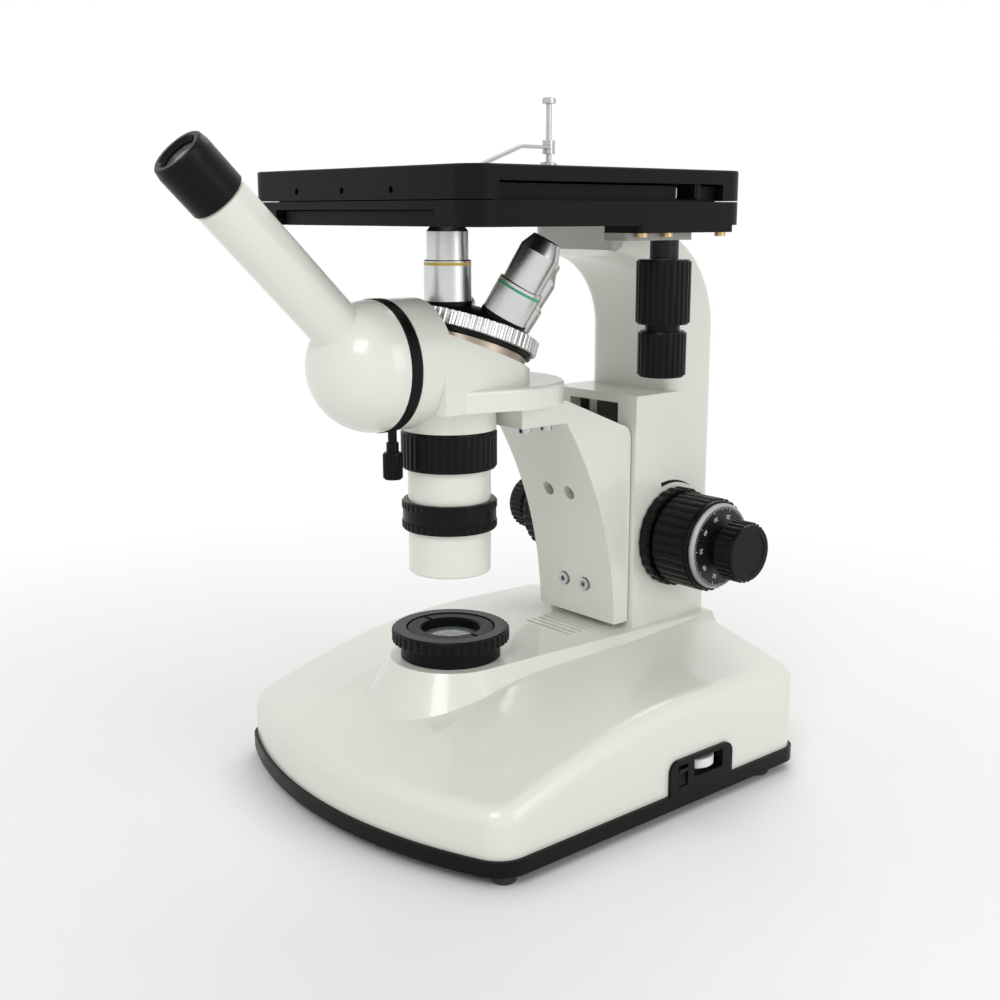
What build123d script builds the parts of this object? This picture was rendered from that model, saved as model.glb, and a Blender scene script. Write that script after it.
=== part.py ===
from build123d import *
import math
import os

# Inverted microscope, monocular, with a plain mechanical stage and a coaxial focus.
# Millimetres, +Z up. The origin lies on the vertical optical axis at bench level.
# -Y is the user's side, +X the user's right. The column stands at the back, at +Y.

# Running clearances
gap = 0.3            # sliding and turning fits
seat = 0.05          # parts that are fixed into each other

# Base
foot_height = 6.0
foot_radius = 6.2
foot_x = 103.0
foot_front_y = -51.0
foot_rear_y = 139.0
plate_thickness = 8.0
base_half_width = 114.0
base_front_y = -87.0
base_rear_y = 173.0
front_bow_radius = 247.0
rear_bow_radius = 546.0
front_corner_radius = 20.0
rear_corner_radius = 12.0
shell_inset = 2.0
shell_wall = 4.5
rim_radius = 10.0
platform_rise = 61.0         # platform top above the bottom plate
platform_front_radius = 33.0
platform_rear_half = 41.0
platform_draft = 33.0        # degrees from the vertical
platform_depth = 38.0
# Slices of the base: Y, then the shoulder and the middle below the platform top
base_slices = ((-110.0, 49.0, 40.0), (-60.0, 40.0, 28.0), (-5.0, 25.0, 11.0),
               (45.0, 15.0, 6.0), (100.0, 12.5, 4.7), (190.0, 13.0, 6.0))
vent_count = 7
vent_length = 37.0
vent_width = 1.6
vent_pitch = 4.6
vent_first_y = 72.0
boss_radius = 5.0
boss_height = 16.0
foot_screw_radius = 2.0

# Side controls and inlet
panel_front_y = 54.0
panel_rear_y = 103.0
panel_height = 18.5
window_z = 25.0
window_height = 10.0
wheel_y = 83.5
wheel_radius = 10.6
wheel_width = 5.0
wheel_show = 1.5             # how far the rim stands out of the recess
switch_y = 63.5
switch_z = 23.5
switch_angle = 8.0           # half of the rocker's throw, degrees
inlet_x = -52.0
inlet_z = 35.0
inlet_width = 27.0
inlet_height = 20.0

# Lamp house inside the base
mirror_z = 45.0
mirror_thickness = 3.0
mirror_half_width = 12.0
lamp_y = 52.0
lamp_radius = 6.0

# Collector on the base
collector_low_radius = 27.0
collector_low_height = 8.3
collector_ring_radius = 32.0
collector_ring_height = 7.7
collector_neck_radius = 21.5
collector_spigot_radius = 20.0
collector_glass_radius = 16.0
lens_edge = 1.0

# Column and arm, one casting
column_half_width = 34.0
column_front_y = 107.0
column_rear_y = 170.5
column_wall = 8.0
ledge_z = 210.0
arm_front_y = 135.7
arm_outer_radius = 60.0
arm_edge_radius = 9.0
rear_edge_radius = 4.0
pad_front_y = 88.0
pad_thickness = 13.5
throat_y = 99.0              # where the throat's curve leaves the pad
throat_z = 286.6
slot_half_width = 19.5
slot_bottom_z = 80.0
slot_top_z = 205.0
column_screw_radius = 2.5
column_screw_y = (112.0, 157.0)

# Focus drive
drive_y = 139.0
drive_z = 125.8
pinion_module = 1.0
pinion_teeth = 12
pinion_width = 14.0
coarse_shaft_radius = 4.6
fine_shaft_radius = 2.6
bush_radius = 8.0
focus_travel = 18.0
tension_radius = 29.0
tension_width = 7.0
coarse_radius = 27.0
coarse_start_x = 42.0
coarse_width = 26.0
fine_stem_radius = 11.5
fine_start_x = 79.0
fine_radius = 17.2
fine_end_x = 92.0
dial_radius = 24.5
dial_width = 3.2

# Slides behind the bracket
coarse_slide_half = 18.5
coarse_slide_rear_y = 130.0
coarse_slide_front_y = 108.5
coarse_slide_bottom_z = 92.0
coarse_slide_length = 92.0
coarse_v = 3.0
coarse_v_y = 125.5
fine_slide_half = 12.0
fine_slide_rear_y = 121.0
fine_slide_length = 82.0
fine_v = 2.5
fine_v_y = 115.5
rail_screw_radius = 1.25

# Focusing bracket
bracket_half_width = 31.0
bracket_rear_y = 106.0
bracket_bottom_z = 79.0
bracket_flange_y = 24.0
bracket_flange_rear_y = 56.0
bracket_flange_z = 200.0
bracket_flange_thickness = 12.0
bracket_screw_x = 8.5
bracket_screw_z = (99.0, 155.0)
bracket_screw_seat_y = 96.0
bracket_screw_radius = 2.0

# Head
head_z = 235.5
head_radius = 33.0
head_front_y = -41.5
head_flat_y = -28.0
body_end_y = 13.0
head_plate_thickness = 11.5
head_plate_radius = 43.0
head_plate_y = 24.0
neck_radius = 25.0
light_bore_radius = 11.0
image_bore_radius = 13.0
head_screw_x = 22.0
head_screw_y = (34.0, 49.0)

# Swivel head
swivel_ring_width = 7.0
swivel_ring_radius = 33.4
spigot_radius = 24.0
spigot_length = 17.0
ball_wall = 6.0
eye_tilt = 45.0
eye_tube_radius = 13.25
eye_bore_radius = 11.7
eye_tube_end = 114.9         # from the ball centre along the tube
eyepiece_length = 27.6
eyepiece_radius = 13.9
eyepiece_barrel = 24.0
eye_lens_radius = 9.0

# Head lock screw
lock_y = -36.8
lock_rod_radius = 2.3
lock_collar_radius = 3.2
lock_knob_radius = 5.1
lock_knob_low_z = 177.0
lock_knob_length = 14.0
lock_collar_top_z = 196.0

# Illuminator tube below the head
tube_radius = 22.0
tube_wall = 3.0
tube_bottom_z = 123.0
tube_socket = 6.0
aperture_ring_width = 20.2
field_ring_low_z = 146.5
field_ring_width = 15.5
ring_radius = 25.5
ring_groove_width = 3.0
ring_groove_depth = 1.0
set_screw_radius = 1.2

# Turret and objectives
turret_tilt = 21.0
socket_radius = 21.5
shoulder_z = 266.0           # objective shoulder on the optical axis at rest
dome_edge_radius = 33.0
turret_ring_radius = 35.5
turret_ring_low = 41.5
turret_ring_high = 49.5
turret_base_low = 35.0
turret_base_high = 39.0
turret_base_radius = 31.0
turret_stud_radius = 4.0
turret_clearance = 1.0
port_light_radius = 7.5
port_boss_radius = 12.6
port_count = 4
thread_radius = 10.15
thread_length = 4.5
barrel_radius = 12.2
upper_barrel_radius = 10.75

# Mechanical stage
stage_half_width = 93.0
stage_front_y = -60.0
stage_rear_y = 124.0
stage_bottom_z = 304.0
stage_base_thickness = 7.0
stage_base_half_width = 66.0
stage_base_front_y = -56.0
stage_base_rear_y = 104.0
stage_layer_gap = 0.5
y_plate_thickness = 4.0
y_block_height = 7.5
y_block_half_width = 88.0
guide_front_y = -45.0
guide_rear_y = 104.0
stage_top_thickness = 7.0
stage_flange_depth = 8.0
stage_corner_radius = 13.0
stage_opening_half = 52.0
stage_opening_front_y = -34.0
stage_opening_rear_y = 62.0
base_opening_rear_y = 82.0
stage_screw_y = 96.0
stage_screw_x = (10.0, 26.0)
insert_radius = 55.0
insert_thickness = 1.7
insert_ledge = 5.0
insert_hole_radius = 10.0
stage_travel = 7.5           # each way, in X and in Y
front_hole_radius = 1.65
front_hole_depth = 8.0
front_hole_pitch = 40.0
front_hole_mid_x = -6.0
front_hole_below = 10.5

# Stage knobs
knob_x = 76.0
knob_y = 80.0
stage_pinion_module = 0.5
stage_pinion_teeth = 20
stage_pinion_width = 5.0
y_knob_radius = 14.1
y_knob_top_z = 287.0
y_knob_length = 32.5
x_knob_radius = 12.6
x_knob_length = 23.5
x_neck_radius = 9.0
x_neck_length = 3.5
y_shaft_radius = 3.6
x_shaft_radius = 2.0
bearing_radius = 7.3
carrier_front_y = 44.0
carrier_rear_y = 114.0
carrier_left_x = 67.0
carrier_thickness = 3.5
bearing_plate_thickness = 3.7
bearing_plate_left_x = 60.0
bearing_plate_rear_y = 92.0
carrier_screw_radius = 1.5

# Specimen clip
clip_y = 70.0
clip_boss_radius = 4.5
clip_boss_height = 5.8
clip_post_radius = 1.5
clip_post_length = 36.0
clip_cap_radius = 3.7
clip_cap_height = 3.0
clip_collar_height_z = 10.0  # collar above the stage surface
clip_nut_radius = 3.4
clip_nut_height = 2.4
clip_sleeve_radius = 2.5
clip_arm_width = 4.0
clip_arm_thickness = 1.6

# Values that follow from the sizes above
shell_z = foot_height + plate_thickness
platform_z = shell_z + platform_rise
side_x = base_half_width - shell_inset
wheel_x = base_half_width - 0.5 + wheel_show - 1.0 - wheel_radius
collector_ring_z = platform_z + collector_low_height
stage_base_top_z = stage_bottom_z + stage_base_thickness
y_plate_z = stage_base_top_z + stage_layer_gap
y_block_z = y_plate_z + y_plate_thickness
stage_top_z = y_block_z + y_block_height + 2 * stage_layer_gap
stage_surface_z = stage_top_z + stage_top_thickness
pinion_pitch = pinion_module * pinion_teeth / 2
stage_pinion_pitch = stage_pinion_module * stage_pinion_teeth / 2
tilt = math.radians(turret_tilt)
apex_length = socket_radius / math.sin(tilt)
apex_z = shoulder_z - apex_length
turret_axis = Vector(0, math.sin(tilt), math.cos(tilt))
turret_front = Vector(0, -math.cos(tilt), math.sin(tilt))
turret_apex = Vector(0, 0, apex_z)
dome_radius = apex_length - 1.0
head_plate_z = bracket_flange_z + bracket_flange_thickness
ball_y = head_front_y - swivel_ring_width
ball_centre = Vector(0, ball_y, head_z)
eye_axis = Vector(0, -math.cos(math.radians(eye_tilt)), math.sin(math.radians(eye_tilt)))
bearing_plate_z = stage_bottom_z - carrier_thickness - bearing_plate_thickness
clip_collar_z = stage_surface_z + clip_collar_height_z
cavity_half = column_half_width - column_wall
cavity_front_y = column_front_y + column_wall
cavity_rear_y = column_rear_y - column_wall
fine_slide_bottom_z = coarse_slide_bottom_z + (coarse_slide_length - fine_slide_length) / 2


def write(name, *solids):
    parts = []
    for solid in solids:
        parts.extend(solid.solids())
    shape = parts[0] if len(parts) == 1 else Compound(parts)
    export_step(shape, "parts/" + name + ".step")


def rod(radius, origin, axis, low, high):
    """A cylinder along an axis, between two distances from its origin."""
    plane = Plane(origin=origin, z_dir=axis)
    return extrude(plane.offset(low) * Circle(radius), high - low)


def post(radius, low, high, x=0.0, y=0.0):
    return rod(radius, (x, y, 0), (0, 0, 1), low, high)


def along_x(radius, left, right, y=drive_y, z=drive_z):
    return rod(radius, (0, y, z), (1, 0, 0), left, right)


def along_y(radius, front, rear, z, x=0.0):
    return rod(radius, (x, 0, z), (0, 1, 0), front, rear)


def block(x0, x1, y0, y1, z0, z1):
    return Pos((x0 + x1) / 2, (y0 + y1) / 2, (z0 + z1) / 2) * Box(x1 - x0, y1 - y0, z1 - z0)


def turned(points):
    """A solid of revolution about Z from (radius, height) points."""
    outline = Polyline(*[(r, 0, z) for r, z in points], close=True)
    return revolve(make_face(outline), Axis.Z)


def side_profile(points, half_width, x=0.0):
    """Extrude a polygon given in Y and Z to both sides of x."""
    face = make_face(Polyline(*[(x, y, z) for y, z in points], close=True))
    return extrude(face, half_width, dir=(1, 0, 0), both=True)


def plan_profile(points, low, high):
    """Extrude a polygon given in X and Y between two heights."""
    face = make_face(Polyline(*[(x, y, low) for x, y in points], close=True))
    return extrude(face, high - low, dir=(0, 0, 1))


def bevel(shape, size, *heights):
    """Chamfer the circular edges of a turned piece that lie at the given heights."""
    rims = [e for e in shape.edges() if any(abs(e.center().Z - z) < 0.01 for z in heights)]
    return chamfer(rims, size)


def screw(origin, axis, radius, length, head_radius, head_height):
    """A socket head screw. Its head stands on the origin, its shank goes the other way."""
    head = rod(head_radius, origin, axis, 0, head_height)
    plane = Plane(origin=origin, z_dir=axis)
    key = extrude(plane.offset(head_height * 0.4) * RegularPolygon(head_radius * 0.5, 6), head_height)
    return head - key + rod(radius, origin, axis, -length, 0)


def gear_outline(module, teeth, backlash):
    """Involute tooth outline with a tooth on the +X axis, as points."""
    pitch = module * teeth / 2
    base = pitch * math.cos(math.radians(20))
    half = math.pi / (2 * teeth) - backlash / (2 * pitch)

    def spread(radius):
        pressure = math.acos(min(1.0, base / radius))
        return math.tan(pressure) - pressure

    at_pitch = spread(pitch)
    root = pitch - 1.25 * module
    radii = [max(base, root), (base + pitch) / 2, pitch, pitch + 0.5 * module, pitch + module]
    flank = [(root, half + at_pitch)] + [(r, half + at_pitch - spread(r)) for r in radii]
    points = []
    for i in range(teeth):
        centre = 2 * math.pi * i / teeth
        for r, angle in flank:
            points.append((r * math.cos(centre - angle), r * math.sin(centre - angle)))
        for r, angle in reversed(flank):
            points.append((r * math.cos(centre + angle), r * math.sin(centre + angle)))
    return points


def rack_outline(module, count, backlash, addendum, back):
    """Rack teeth along the first axis with a space in the middle, as (along, height) points."""
    half = math.pi * module / 4 - backlash / 2
    slope = math.tan(math.radians(20))
    points = []
    for i in range(count):
        centre = (i - (count - 1) / 2) * math.pi * module
        points.append((centre - half - 1.25 * module * slope, -1.25 * module))
        points.append((centre - half + addendum * slope, addendum))
        points.append((centre + half - addendum * slope, addendum))
        points.append((centre + half + 1.25 * module * slope, -1.25 * module))
    end = count / 2 * math.pi * module
    return [(-end, back), (-end, -1.25 * module)] + points + [(end, -1.25 * module), (end, back)]


# Base

def base_outline(inset):
    mid = (base_front_y + base_rear_y) / 2
    reach = base_rear_y - base_front_y + 20
    sides = Pos(0, mid) * Rectangle(2 * (base_half_width - inset), reach)
    front = Pos(0, base_front_y + front_bow_radius) * Circle(front_bow_radius - inset)
    rear = Pos(0, base_rear_y - rear_bow_radius) * Circle(rear_bow_radius - inset)
    plan = sides & front & rear
    plan = fillet(plan.vertices().sort_by(Axis.Y)[:2], front_corner_radius - inset)
    return fillet(plan.vertices().sort_by(Axis.Y)[-2:], rear_corner_radius - inset)


def base_slice(y, shoulder, middle):
    """A slice across the base, with its low shoulders and its higher middle."""
    w = base_half_width + 10
    c = platform_rear_half + 2
    low = shell_z - 10
    points = [(-w, low), (w, low), (w, shoulder), (c, middle), (-c, middle), (-w, shoulder)]
    return make_face(Polyline(*[(x, y, z) for x, z in points], close=True))


def base_form(inset, drop, low):
    top = platform_z - drop
    hull = loft([base_slice(y, top - shoulder, top - middle) for y, shoulder, middle in base_slices])
    return hull & extrude(Pos(0, 0, low) * base_outline(inset), platform_z - low)


def platform_form(inset, drop, low):
    """The drafted platform that carries the collector and the column."""
    nose = Circle(platform_front_radius - inset)
    rear = base_rear_y - shell_inset - inset
    tail = Pos(0, rear - 1) * Rectangle(2 * (platform_rear_half - inset), 2)
    plan = make_hull((nose + tail).edges())
    wedge = extrude(Pos(0, 0, platform_z - drop) * plan, platform_depth, dir=(0, 0, -1), taper=-platform_draft)
    return wedge & extrude(Pos(0, 0, low) * base_outline(shell_inset + inset), platform_z - low)


def rim_edges(shape):
    """Edges between the lofted top and the upright sides."""
    rims = []
    for edge in shape.edges():
        if edge.center().Z < shell_z + 6:
            continue
        sides = [f for f in shape.faces() if any(edge.is_same(other) for other in f.edges())]
        lean = [abs(f.normal_at(edge.center()).Z) for f in sides]
        if len(lean) == 2 and max(lean) > 0.8 and min(lean) < 0.2:
            rims.append(edge)
    return rims


def foot_places():
    return [(x, y) for x in (-foot_x, foot_x) for y in (foot_front_y, foot_rear_y)]


def column_screw_places():
    x = column_half_width - column_wall / 2
    return [(s * x, y) for s in (-1, 1) for y in column_screw_y]


def make_base_shell():
    shell = base_form(shell_inset, 0, shell_z)
    shell = fillet(rim_edges(shell), rim_radius) + platform_form(0, 0, shell_z)
    thick = shell_wall + 0.5
    shell -= base_form(shell_inset + shell_wall, thick, shell_z - 1)
    shell -= platform_form(shell_wall, thick, shell_z - 1)
    for x, y in foot_places():
        shell += post(boss_radius, shell_z, shell_z + boss_height, x, y)
        shell -= post(foot_screw_radius + seat, shell_z - 1, shell_z + 12, x, y)
    for i in range(vent_count):
        slot = Pos(0, vent_first_y + i * vent_pitch, platform_z - 8) * SlotOverall(vent_length, vent_width)
        shell -= extrude(slot, 10)
    for x, y in column_screw_places():
        shell -= post(column_screw_radius + gap, platform_z - 8, platform_z + 1, x, y)
    shell -= post(collector_spigot_radius + seat, platform_z - 12, platform_z + 1)
    shell -= block(side_x - 9, side_x + 3, panel_front_y + 2.9, panel_rear_y - 4.9, shell_z - 1, shell_z + panel_height - 1)
    half_x, half_z = inlet_width / 2, inlet_height / 2
    shell -= block(inlet_x - half_x - 3, inlet_x + half_x + 3, 166, 180, inlet_z - half_z - 3, inlet_z + half_z + 3)
    shell -= block(inlet_x - half_x, inlet_x + half_x, 155, 180, inlet_z - half_z, inlet_z + half_z)
    return shell


def make_bottom_plate():
    plate = extrude(Pos(0, 0, foot_height) * base_outline(0), plate_thickness)
    for x, y in foot_places():
        plate -= post(foot_screw_radius + gap, 0, shell_z + 1, x, y)
    for i in range(8):
        slot = Pos(0, 30 + i * 7, foot_height - 1) * SlotOverall(40, 3)
        plate -= extrude(slot, plate_thickness + 2)
    return plate


def make_feet():
    feet = []
    for x, y in foot_places():
        foot = post(foot_radius, 0, foot_height) - post(foot_screw_radius + gap, -1, foot_height + 1)
        foot -= post(3.9, -1, 3.5)
        feet.append(Pos(x, y, 0) * chamfer(foot.edges().sort_by(Axis.Z)[0:1], 0.8))
    return feet


def make_side_panel():
    low, high = shell_z, shell_z + panel_height
    outline = Pos(0, (panel_front_y + panel_rear_y) / 2, (low + high) / 2) * Box(
        base_half_width - side_x, panel_rear_y - panel_front_y, panel_height)
    plate = Pos((side_x + base_half_width) / 2, 0, 0) * outline
    upper = [e for e in plate.edges().filter_by(Axis.X) if e.center().Z > high - 1]
    plate = fillet(upper, 6)
    z0, z1 = window_z - window_height / 2, window_z + window_height / 2
    recess = block(side_x - 3, side_x, wheel_y - 13, wheel_y + 13, z0 - 1.5, z1 + 1.5)
    cup = block(side_x - 9, side_x, switch_y - 5, switch_y + 5, switch_z - 7.5, switch_z + 7.5)
    panel = plate + recess + cup
    panel -= block(side_x - 20, side_x + 5, wheel_y - 11.5, wheel_y + 11.5, z0, z1)
    panel -= block(side_x - 7.5, side_x + 5, switch_y - 3.5, switch_y + 3.5, switch_z - 6, switch_z + 6)
    return panel - along_y(1.2, switch_y - 6, switch_y + 6, switch_z, side_x - 3.5)


def make_brightness_wheel():
    low = window_z - wheel_width / 2
    wheel = bevel(post(wheel_radius, low, low + wheel_width), 0.5, low, low + wheel_width)
    wheel += post(3.0, shell_z + 2, low)
    return Pos(wheel_x, wheel_y, 0) * wheel


def make_dimmer():
    body = block(-10, 4, -7, 7, shell_z, shell_z + 6) - post(3.0 + gap / 2, shell_z + 1.5, shell_z + 7)
    return Pos(wheel_x, wheel_y, 0) * body


def make_power_rocker():
    corner = [(4.4, 0), (5.6, 4.9), (0, 5.3), (-2.8, 3), (-2.8, -3), (0, -5.3), (5.6, -4.9)]
    face = make_face(Polyline(*[(x, 0, z) for x, z in corner], close=True))
    rocker = extrude(face, 3.2, dir=(0, 1, 0), both=True) + along_y(1.0, -4.6, 4.6, 0)
    return Pos(side_x - 3.5, switch_y, switch_z) * Rot(0, switch_angle, 0) * rocker


def make_power_inlet():
    half_x, half_z = inlet_width / 2 - 0.1, inlet_height / 2 - 0.1
    flange = block(-half_x - 2.9, half_x + 2.9, 166.05, 168.5, -half_z - 2.9, half_z + 2.9)
    inlet = flange + block(-half_x, half_x, 150, 166.05, -half_z, half_z)
    inlet -= block(-half_x + 1.8, half_x - 1.8, 152, 170, -half_z + 2.2, half_z - 2.2)
    for x, z in ((-7, 2), (7, 2), (0, -2)):
        inlet += block(x - 1, x + 1, 151, 160, z - 2, z + 2)
    return Pos(inlet_x, 0, inlet_z) * inlet


def make_power_board():
    board = block(-35, 35, -25, 25, shell_z + 5, shell_z + 6.6)
    for x in (-31, 31):
        for y in (-21, 21):
            board += post(2.5, shell_z, shell_z + 5, x, y)
    board += block(-28, 2, -18, 18, shell_z + 6.6, shell_z + 28)
    board += post(5, shell_z + 6.6, shell_z + 22, 12, 8) + post(5, shell_z + 6.6, shell_z + 22, 24, 8)
    return Pos(-60, 95, 0) * (board + block(8, 28, -18, -10, shell_z + 6.6, shell_z + 18))


def mirror_cut(offset):
    """Everything above a plane at 45 degrees, the given distance behind the mirror's face."""
    plane = Plane(origin=(0, 0, mirror_z), z_dir=(0, 1, 1))
    return extrude(plane.offset(-offset) * Rectangle(200, 200), 200)


def make_base_mirror():
    plane = Plane(origin=(0, 0, mirror_z), x_dir=(1, 0, 0), z_dir=(0, 1, 1))
    return extrude(plane * Rectangle(2 * mirror_half_width, 36), -mirror_thickness)


def make_mirror_mount():
    half = mirror_half_width + 1
    return block(-half, half, -22, 27, shell_z, mirror_z + 15) - mirror_cut(mirror_thickness)


def make_lamp_socket():
    stand = block(-11, 11, lamp_y + 10, lamp_y + 24, shell_z, mirror_z + 10)
    foot = block(-16, 16, lamp_y + 6, lamp_y + 28, shell_z, shell_z + 3)
    return stand + foot - along_y(1.0, lamp_y + 8, lamp_y + 18, mirror_z, -3) - along_y(
        1.0, lamp_y + 8, lamp_y + 18, mirror_z, 3)


def make_lamp():
    bulb = along_y(lamp_radius, lamp_y - 6, lamp_y + 9.95, mirror_z)
    bulb = fillet(bulb.edges().sort_by(Axis.Y)[0:1], 5)
    for x in (-3, 3):
        bulb += along_y(0.9, lamp_y + 9, lamp_y + 17, mirror_z, x)
    return bulb


# Collector

def make_collector_mount():
    low = platform_z
    bore = collector_glass_radius + lens_edge + 0.2
    return turned([(bore - 2, low - 10), (collector_spigot_radius, low - 10), (collector_spigot_radius, low),
                   (collector_low_radius, low), (collector_low_radius, collector_ring_z - 0.8),
                   (collector_low_radius - 0.8, collector_ring_z), (collector_neck_radius, collector_ring_z),
                   (collector_neck_radius, collector_ring_z + 5), (bore, collector_ring_z + 5),
                   (bore, low + 4), (bore - 2, low + 4)])


def make_collector_ring():
    low, high = collector_ring_z + gap, collector_ring_z + collector_ring_height
    bore = collector_neck_radius + gap
    shelf = collector_ring_z + 4.7
    wide = collector_neck_radius + 2.6
    return turned([(bore, low), (collector_ring_radius - 0.8, low), (collector_ring_radius, low + 0.8),
                   (collector_ring_radius, high - 1.2), (collector_ring_radius - 1.2, high),
                   (wide, high), (wide, shelf), (bore, shelf)])


def make_collector_lens():
    edge = collector_glass_radius + lens_edge
    low = platform_z + 4
    arc = [(edge * i / 8, low + 6 + 2.6 * (1 - (i / 8) ** 2)) for i in range(8, -1, -1)]
    return turned([(0, low), (edge, low)] + arc)


def make_lens_retainer():
    bore, outer = collector_glass_radius, collector_glass_radius + lens_edge + 0.15
    flange_z = collector_ring_z + 5
    flange = collector_neck_radius + 2.2
    ring = turned([(bore, platform_z + 10.6), (outer, platform_z + 10.6), (outer, flange_z), (flange, flange_z),
                   (flange, flange_z + 1.6), (flange - 0.6, flange_z + 2.2), (bore + 0.8, flange_z + 2.2),
                   (bore, flange_z + 1.4)])
    for x in (-19.5, 19.5):
        ring -= block(x - 3, x + 3, -1, 1, flange_z + 1.2, flange_z + 4)
    return ring


# Column

def make_column():
    y0, y1, z1 = column_front_y, column_rear_y, stage_bottom_z
    turn_z = z1 - arm_outer_radius
    turn_y = y1 - arm_outer_radius
    away = arm_outer_radius / math.sqrt(2)
    outline = [
        Line((0, y0, platform_z), (0, y1, platform_z)),
        Line((0, y1, platform_z), (0, y1, turn_z)),
        ThreePointArc((0, y1, turn_z), (0, turn_y + away, turn_z + away), (0, turn_y, z1)),
        Line((0, turn_y, z1), (0, pad_front_y, z1)),
        Line((0, pad_front_y, z1), (0, pad_front_y, z1 - pad_thickness)),
        Line((0, pad_front_y, z1 - pad_thickness), (0, throat_y, throat_z)),
        TangentArc((0, arm_front_y, turn_z), (0, throat_y, throat_z), tangent=(0, 0, 1)),
        Line((0, arm_front_y, turn_z), (0, arm_front_y, ledge_z)),
        Line((0, arm_front_y, ledge_z), (0, y0, ledge_z)),
        Line((0, y0, ledge_z), (0, y0, platform_z)),
    ]
    body = extrude(make_face(outline), column_half_width, dir=(1, 0, 0), both=True)
    side_x_limit = column_half_width - 0.1
    sides = [e for e in body.edges() if abs(e.center().X) > side_x_limit]
    inner = [e for e in sides if abs(e.center().Y - arm_front_y) < 0.2 and e.center().Z > ledge_z + 5]
    body = fillet(inner, arm_edge_radius)
    sides = [e for e in body.edges() if abs(e.center().X) > side_x_limit]
    rear = [e for e in sides if e.center().Y > y1 - 1]
    rear += [e for e in sides if e.center().Z > turn_z + 30 and e.center().Y > turn_y + 35]
    body = fillet(rear, rear_edge_radius)
    corner_x, corner_y = column_half_width - arm_edge_radius, pad_front_y + arm_edge_radius
    for s in (-1, 1):
        near, far = sorted((s * corner_x, s * (corner_x + 20)))
        corner = block(near, far, corner_y - 20, corner_y, throat_z - 10, z1 + 1)
        body -= corner - post(arm_edge_radius, throat_z - 10, z1 + 1, s * corner_x, corner_y)
    body -= block(-cavity_half, cavity_half, cavity_front_y, cavity_rear_y, platform_z - 1, slot_top_z)
    body -= block(-slot_half_width, slot_half_width, y0 - 1, cavity_front_y + 1, slot_bottom_z, slot_top_z)
    body -= along_x(bush_radius + seat, -column_half_width - 1, column_half_width + 1)
    for x, y in column_screw_places():
        body -= post(column_screw_radius + seat, platform_z - 1, platform_z + 16, x, y)
    for s in (-1, 1):
        for z in rail_screw_heights():
            body -= along_y(rail_screw_radius + seat, cavity_front_y - 6, cavity_front_y + 1, z, s * rail_screw_x)
        for x in stage_screw_x:
            body -= post(column_screw_radius + seat, stage_bottom_z - 12, stage_bottom_z + 1, s * x, stage_screw_y)
    return body


rail_screw_x = coarse_slide_half + coarse_v + gap + 1.6 + 0.1


def rail_screw_heights():
    return (95.0, 145.0, 195.0)


def rail_section(side):
    inner = coarse_slide_half + gap + 0.1
    apex = coarse_slide_half + coarse_v + gap
    outer = cavity_half - seat
    reach = coarse_v + gap
    return [(side * inner, cavity_front_y), (side * outer, cavity_front_y), (side * outer, coarse_slide_rear_y),
            (side * inner, coarse_slide_rear_y), (side * inner, coarse_v_y + reach), (side * apex, coarse_v_y),
            (side * inner, coarse_v_y - reach)]


def make_guide_rails():
    rails = []
    for side in (-1, 1):
        rail = plan_profile(rail_section(side), slot_bottom_z + 5, slot_top_z - 1)
        for z in rail_screw_heights():
            x = side * rail_screw_x
            rail -= along_y(rail_screw_radius + seat, cavity_front_y - 1, coarse_slide_rear_y + 1, z, x)
        rails.append(rail)
    return rails


def make_rail_screws():
    screws = []
    for side in (-1, 1):
        for z in rail_screw_heights():
            at = (side * rail_screw_x, coarse_slide_rear_y, z)
            screws.append(screw(at, (0, 1, 0), rail_screw_radius, 20, 1.9, 1.6))
    return screws


def make_shaft_bushes():
    bore = coarse_shaft_radius + 0.15
    right = along_x(bush_radius, cavity_half - 0.8, coarse_start_x - 0.4)
    left = along_x(bush_radius, -column_half_width - 0.4, -cavity_half + 0.8)
    hole = along_x(bore, -60, 60)
    return [right - hole, left - hole]


# Focus slides and drive

def slide_section(half, front, rear, v, v_y, clear=0.0):
    """A slide with a V on each side, as a plan polygon. Clear widens it for its guide."""
    half, reach = half + clear, v + clear
    return [(-half, front), (half, front), (half, v_y - reach), (half + v, v_y), (half, v_y + reach),
            (half, rear + clear), (-half, rear + clear), (-half, v_y + reach), (-half - v, v_y), (-half, v_y - reach)]


def make_coarse_slide():
    low, high = coarse_slide_bottom_z, coarse_slide_bottom_z + coarse_slide_length
    outer = slide_section(coarse_slide_half, coarse_slide_front_y, coarse_slide_rear_y, coarse_v, coarse_v_y)
    pocket = slide_section(fine_slide_half, coarse_slide_front_y - 1, fine_slide_rear_y, fine_v, fine_v_y, gap)
    slide = plan_profile(outer, low, high) - plan_profile(pocket, low - 1, high + 1)
    half = pinion_width / 2 + 1 + seat
    return slide - block(-half, half, coarse_slide_rear_y - 3, coarse_slide_rear_y + 1, low - 1, high + 1)


def make_focus_rack():
    back = coarse_slide_rear_y - 3 - (drive_y - pinion_pitch)
    points = rack_outline(pinion_module, 16, 0.3, 0.7 * pinion_module, back)
    face = make_face(Polyline(*[(0, drive_y - pinion_pitch + h, drive_z - 6.3 + a) for a, h in points], close=True))
    return extrude(face, pinion_width / 2 + 1, dir=(1, 0, 0), both=True)


def make_pinion_shaft():
    half = pinion_width / 2
    teeth = gear_outline(pinion_module, pinion_teeth, 0.3)
    face = make_face(Polyline(*[(-half, drive_y - a, drive_z - b) for a, b in teeth], close=True))
    end = coarse_start_x + coarse_width - 4
    shaft = along_x(coarse_shaft_radius, -end, end) + extrude(face, pinion_width, dir=(1, 0, 0))
    return shaft - along_x(fine_shaft_radius + gap, -end - 1, end + 1)


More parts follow.
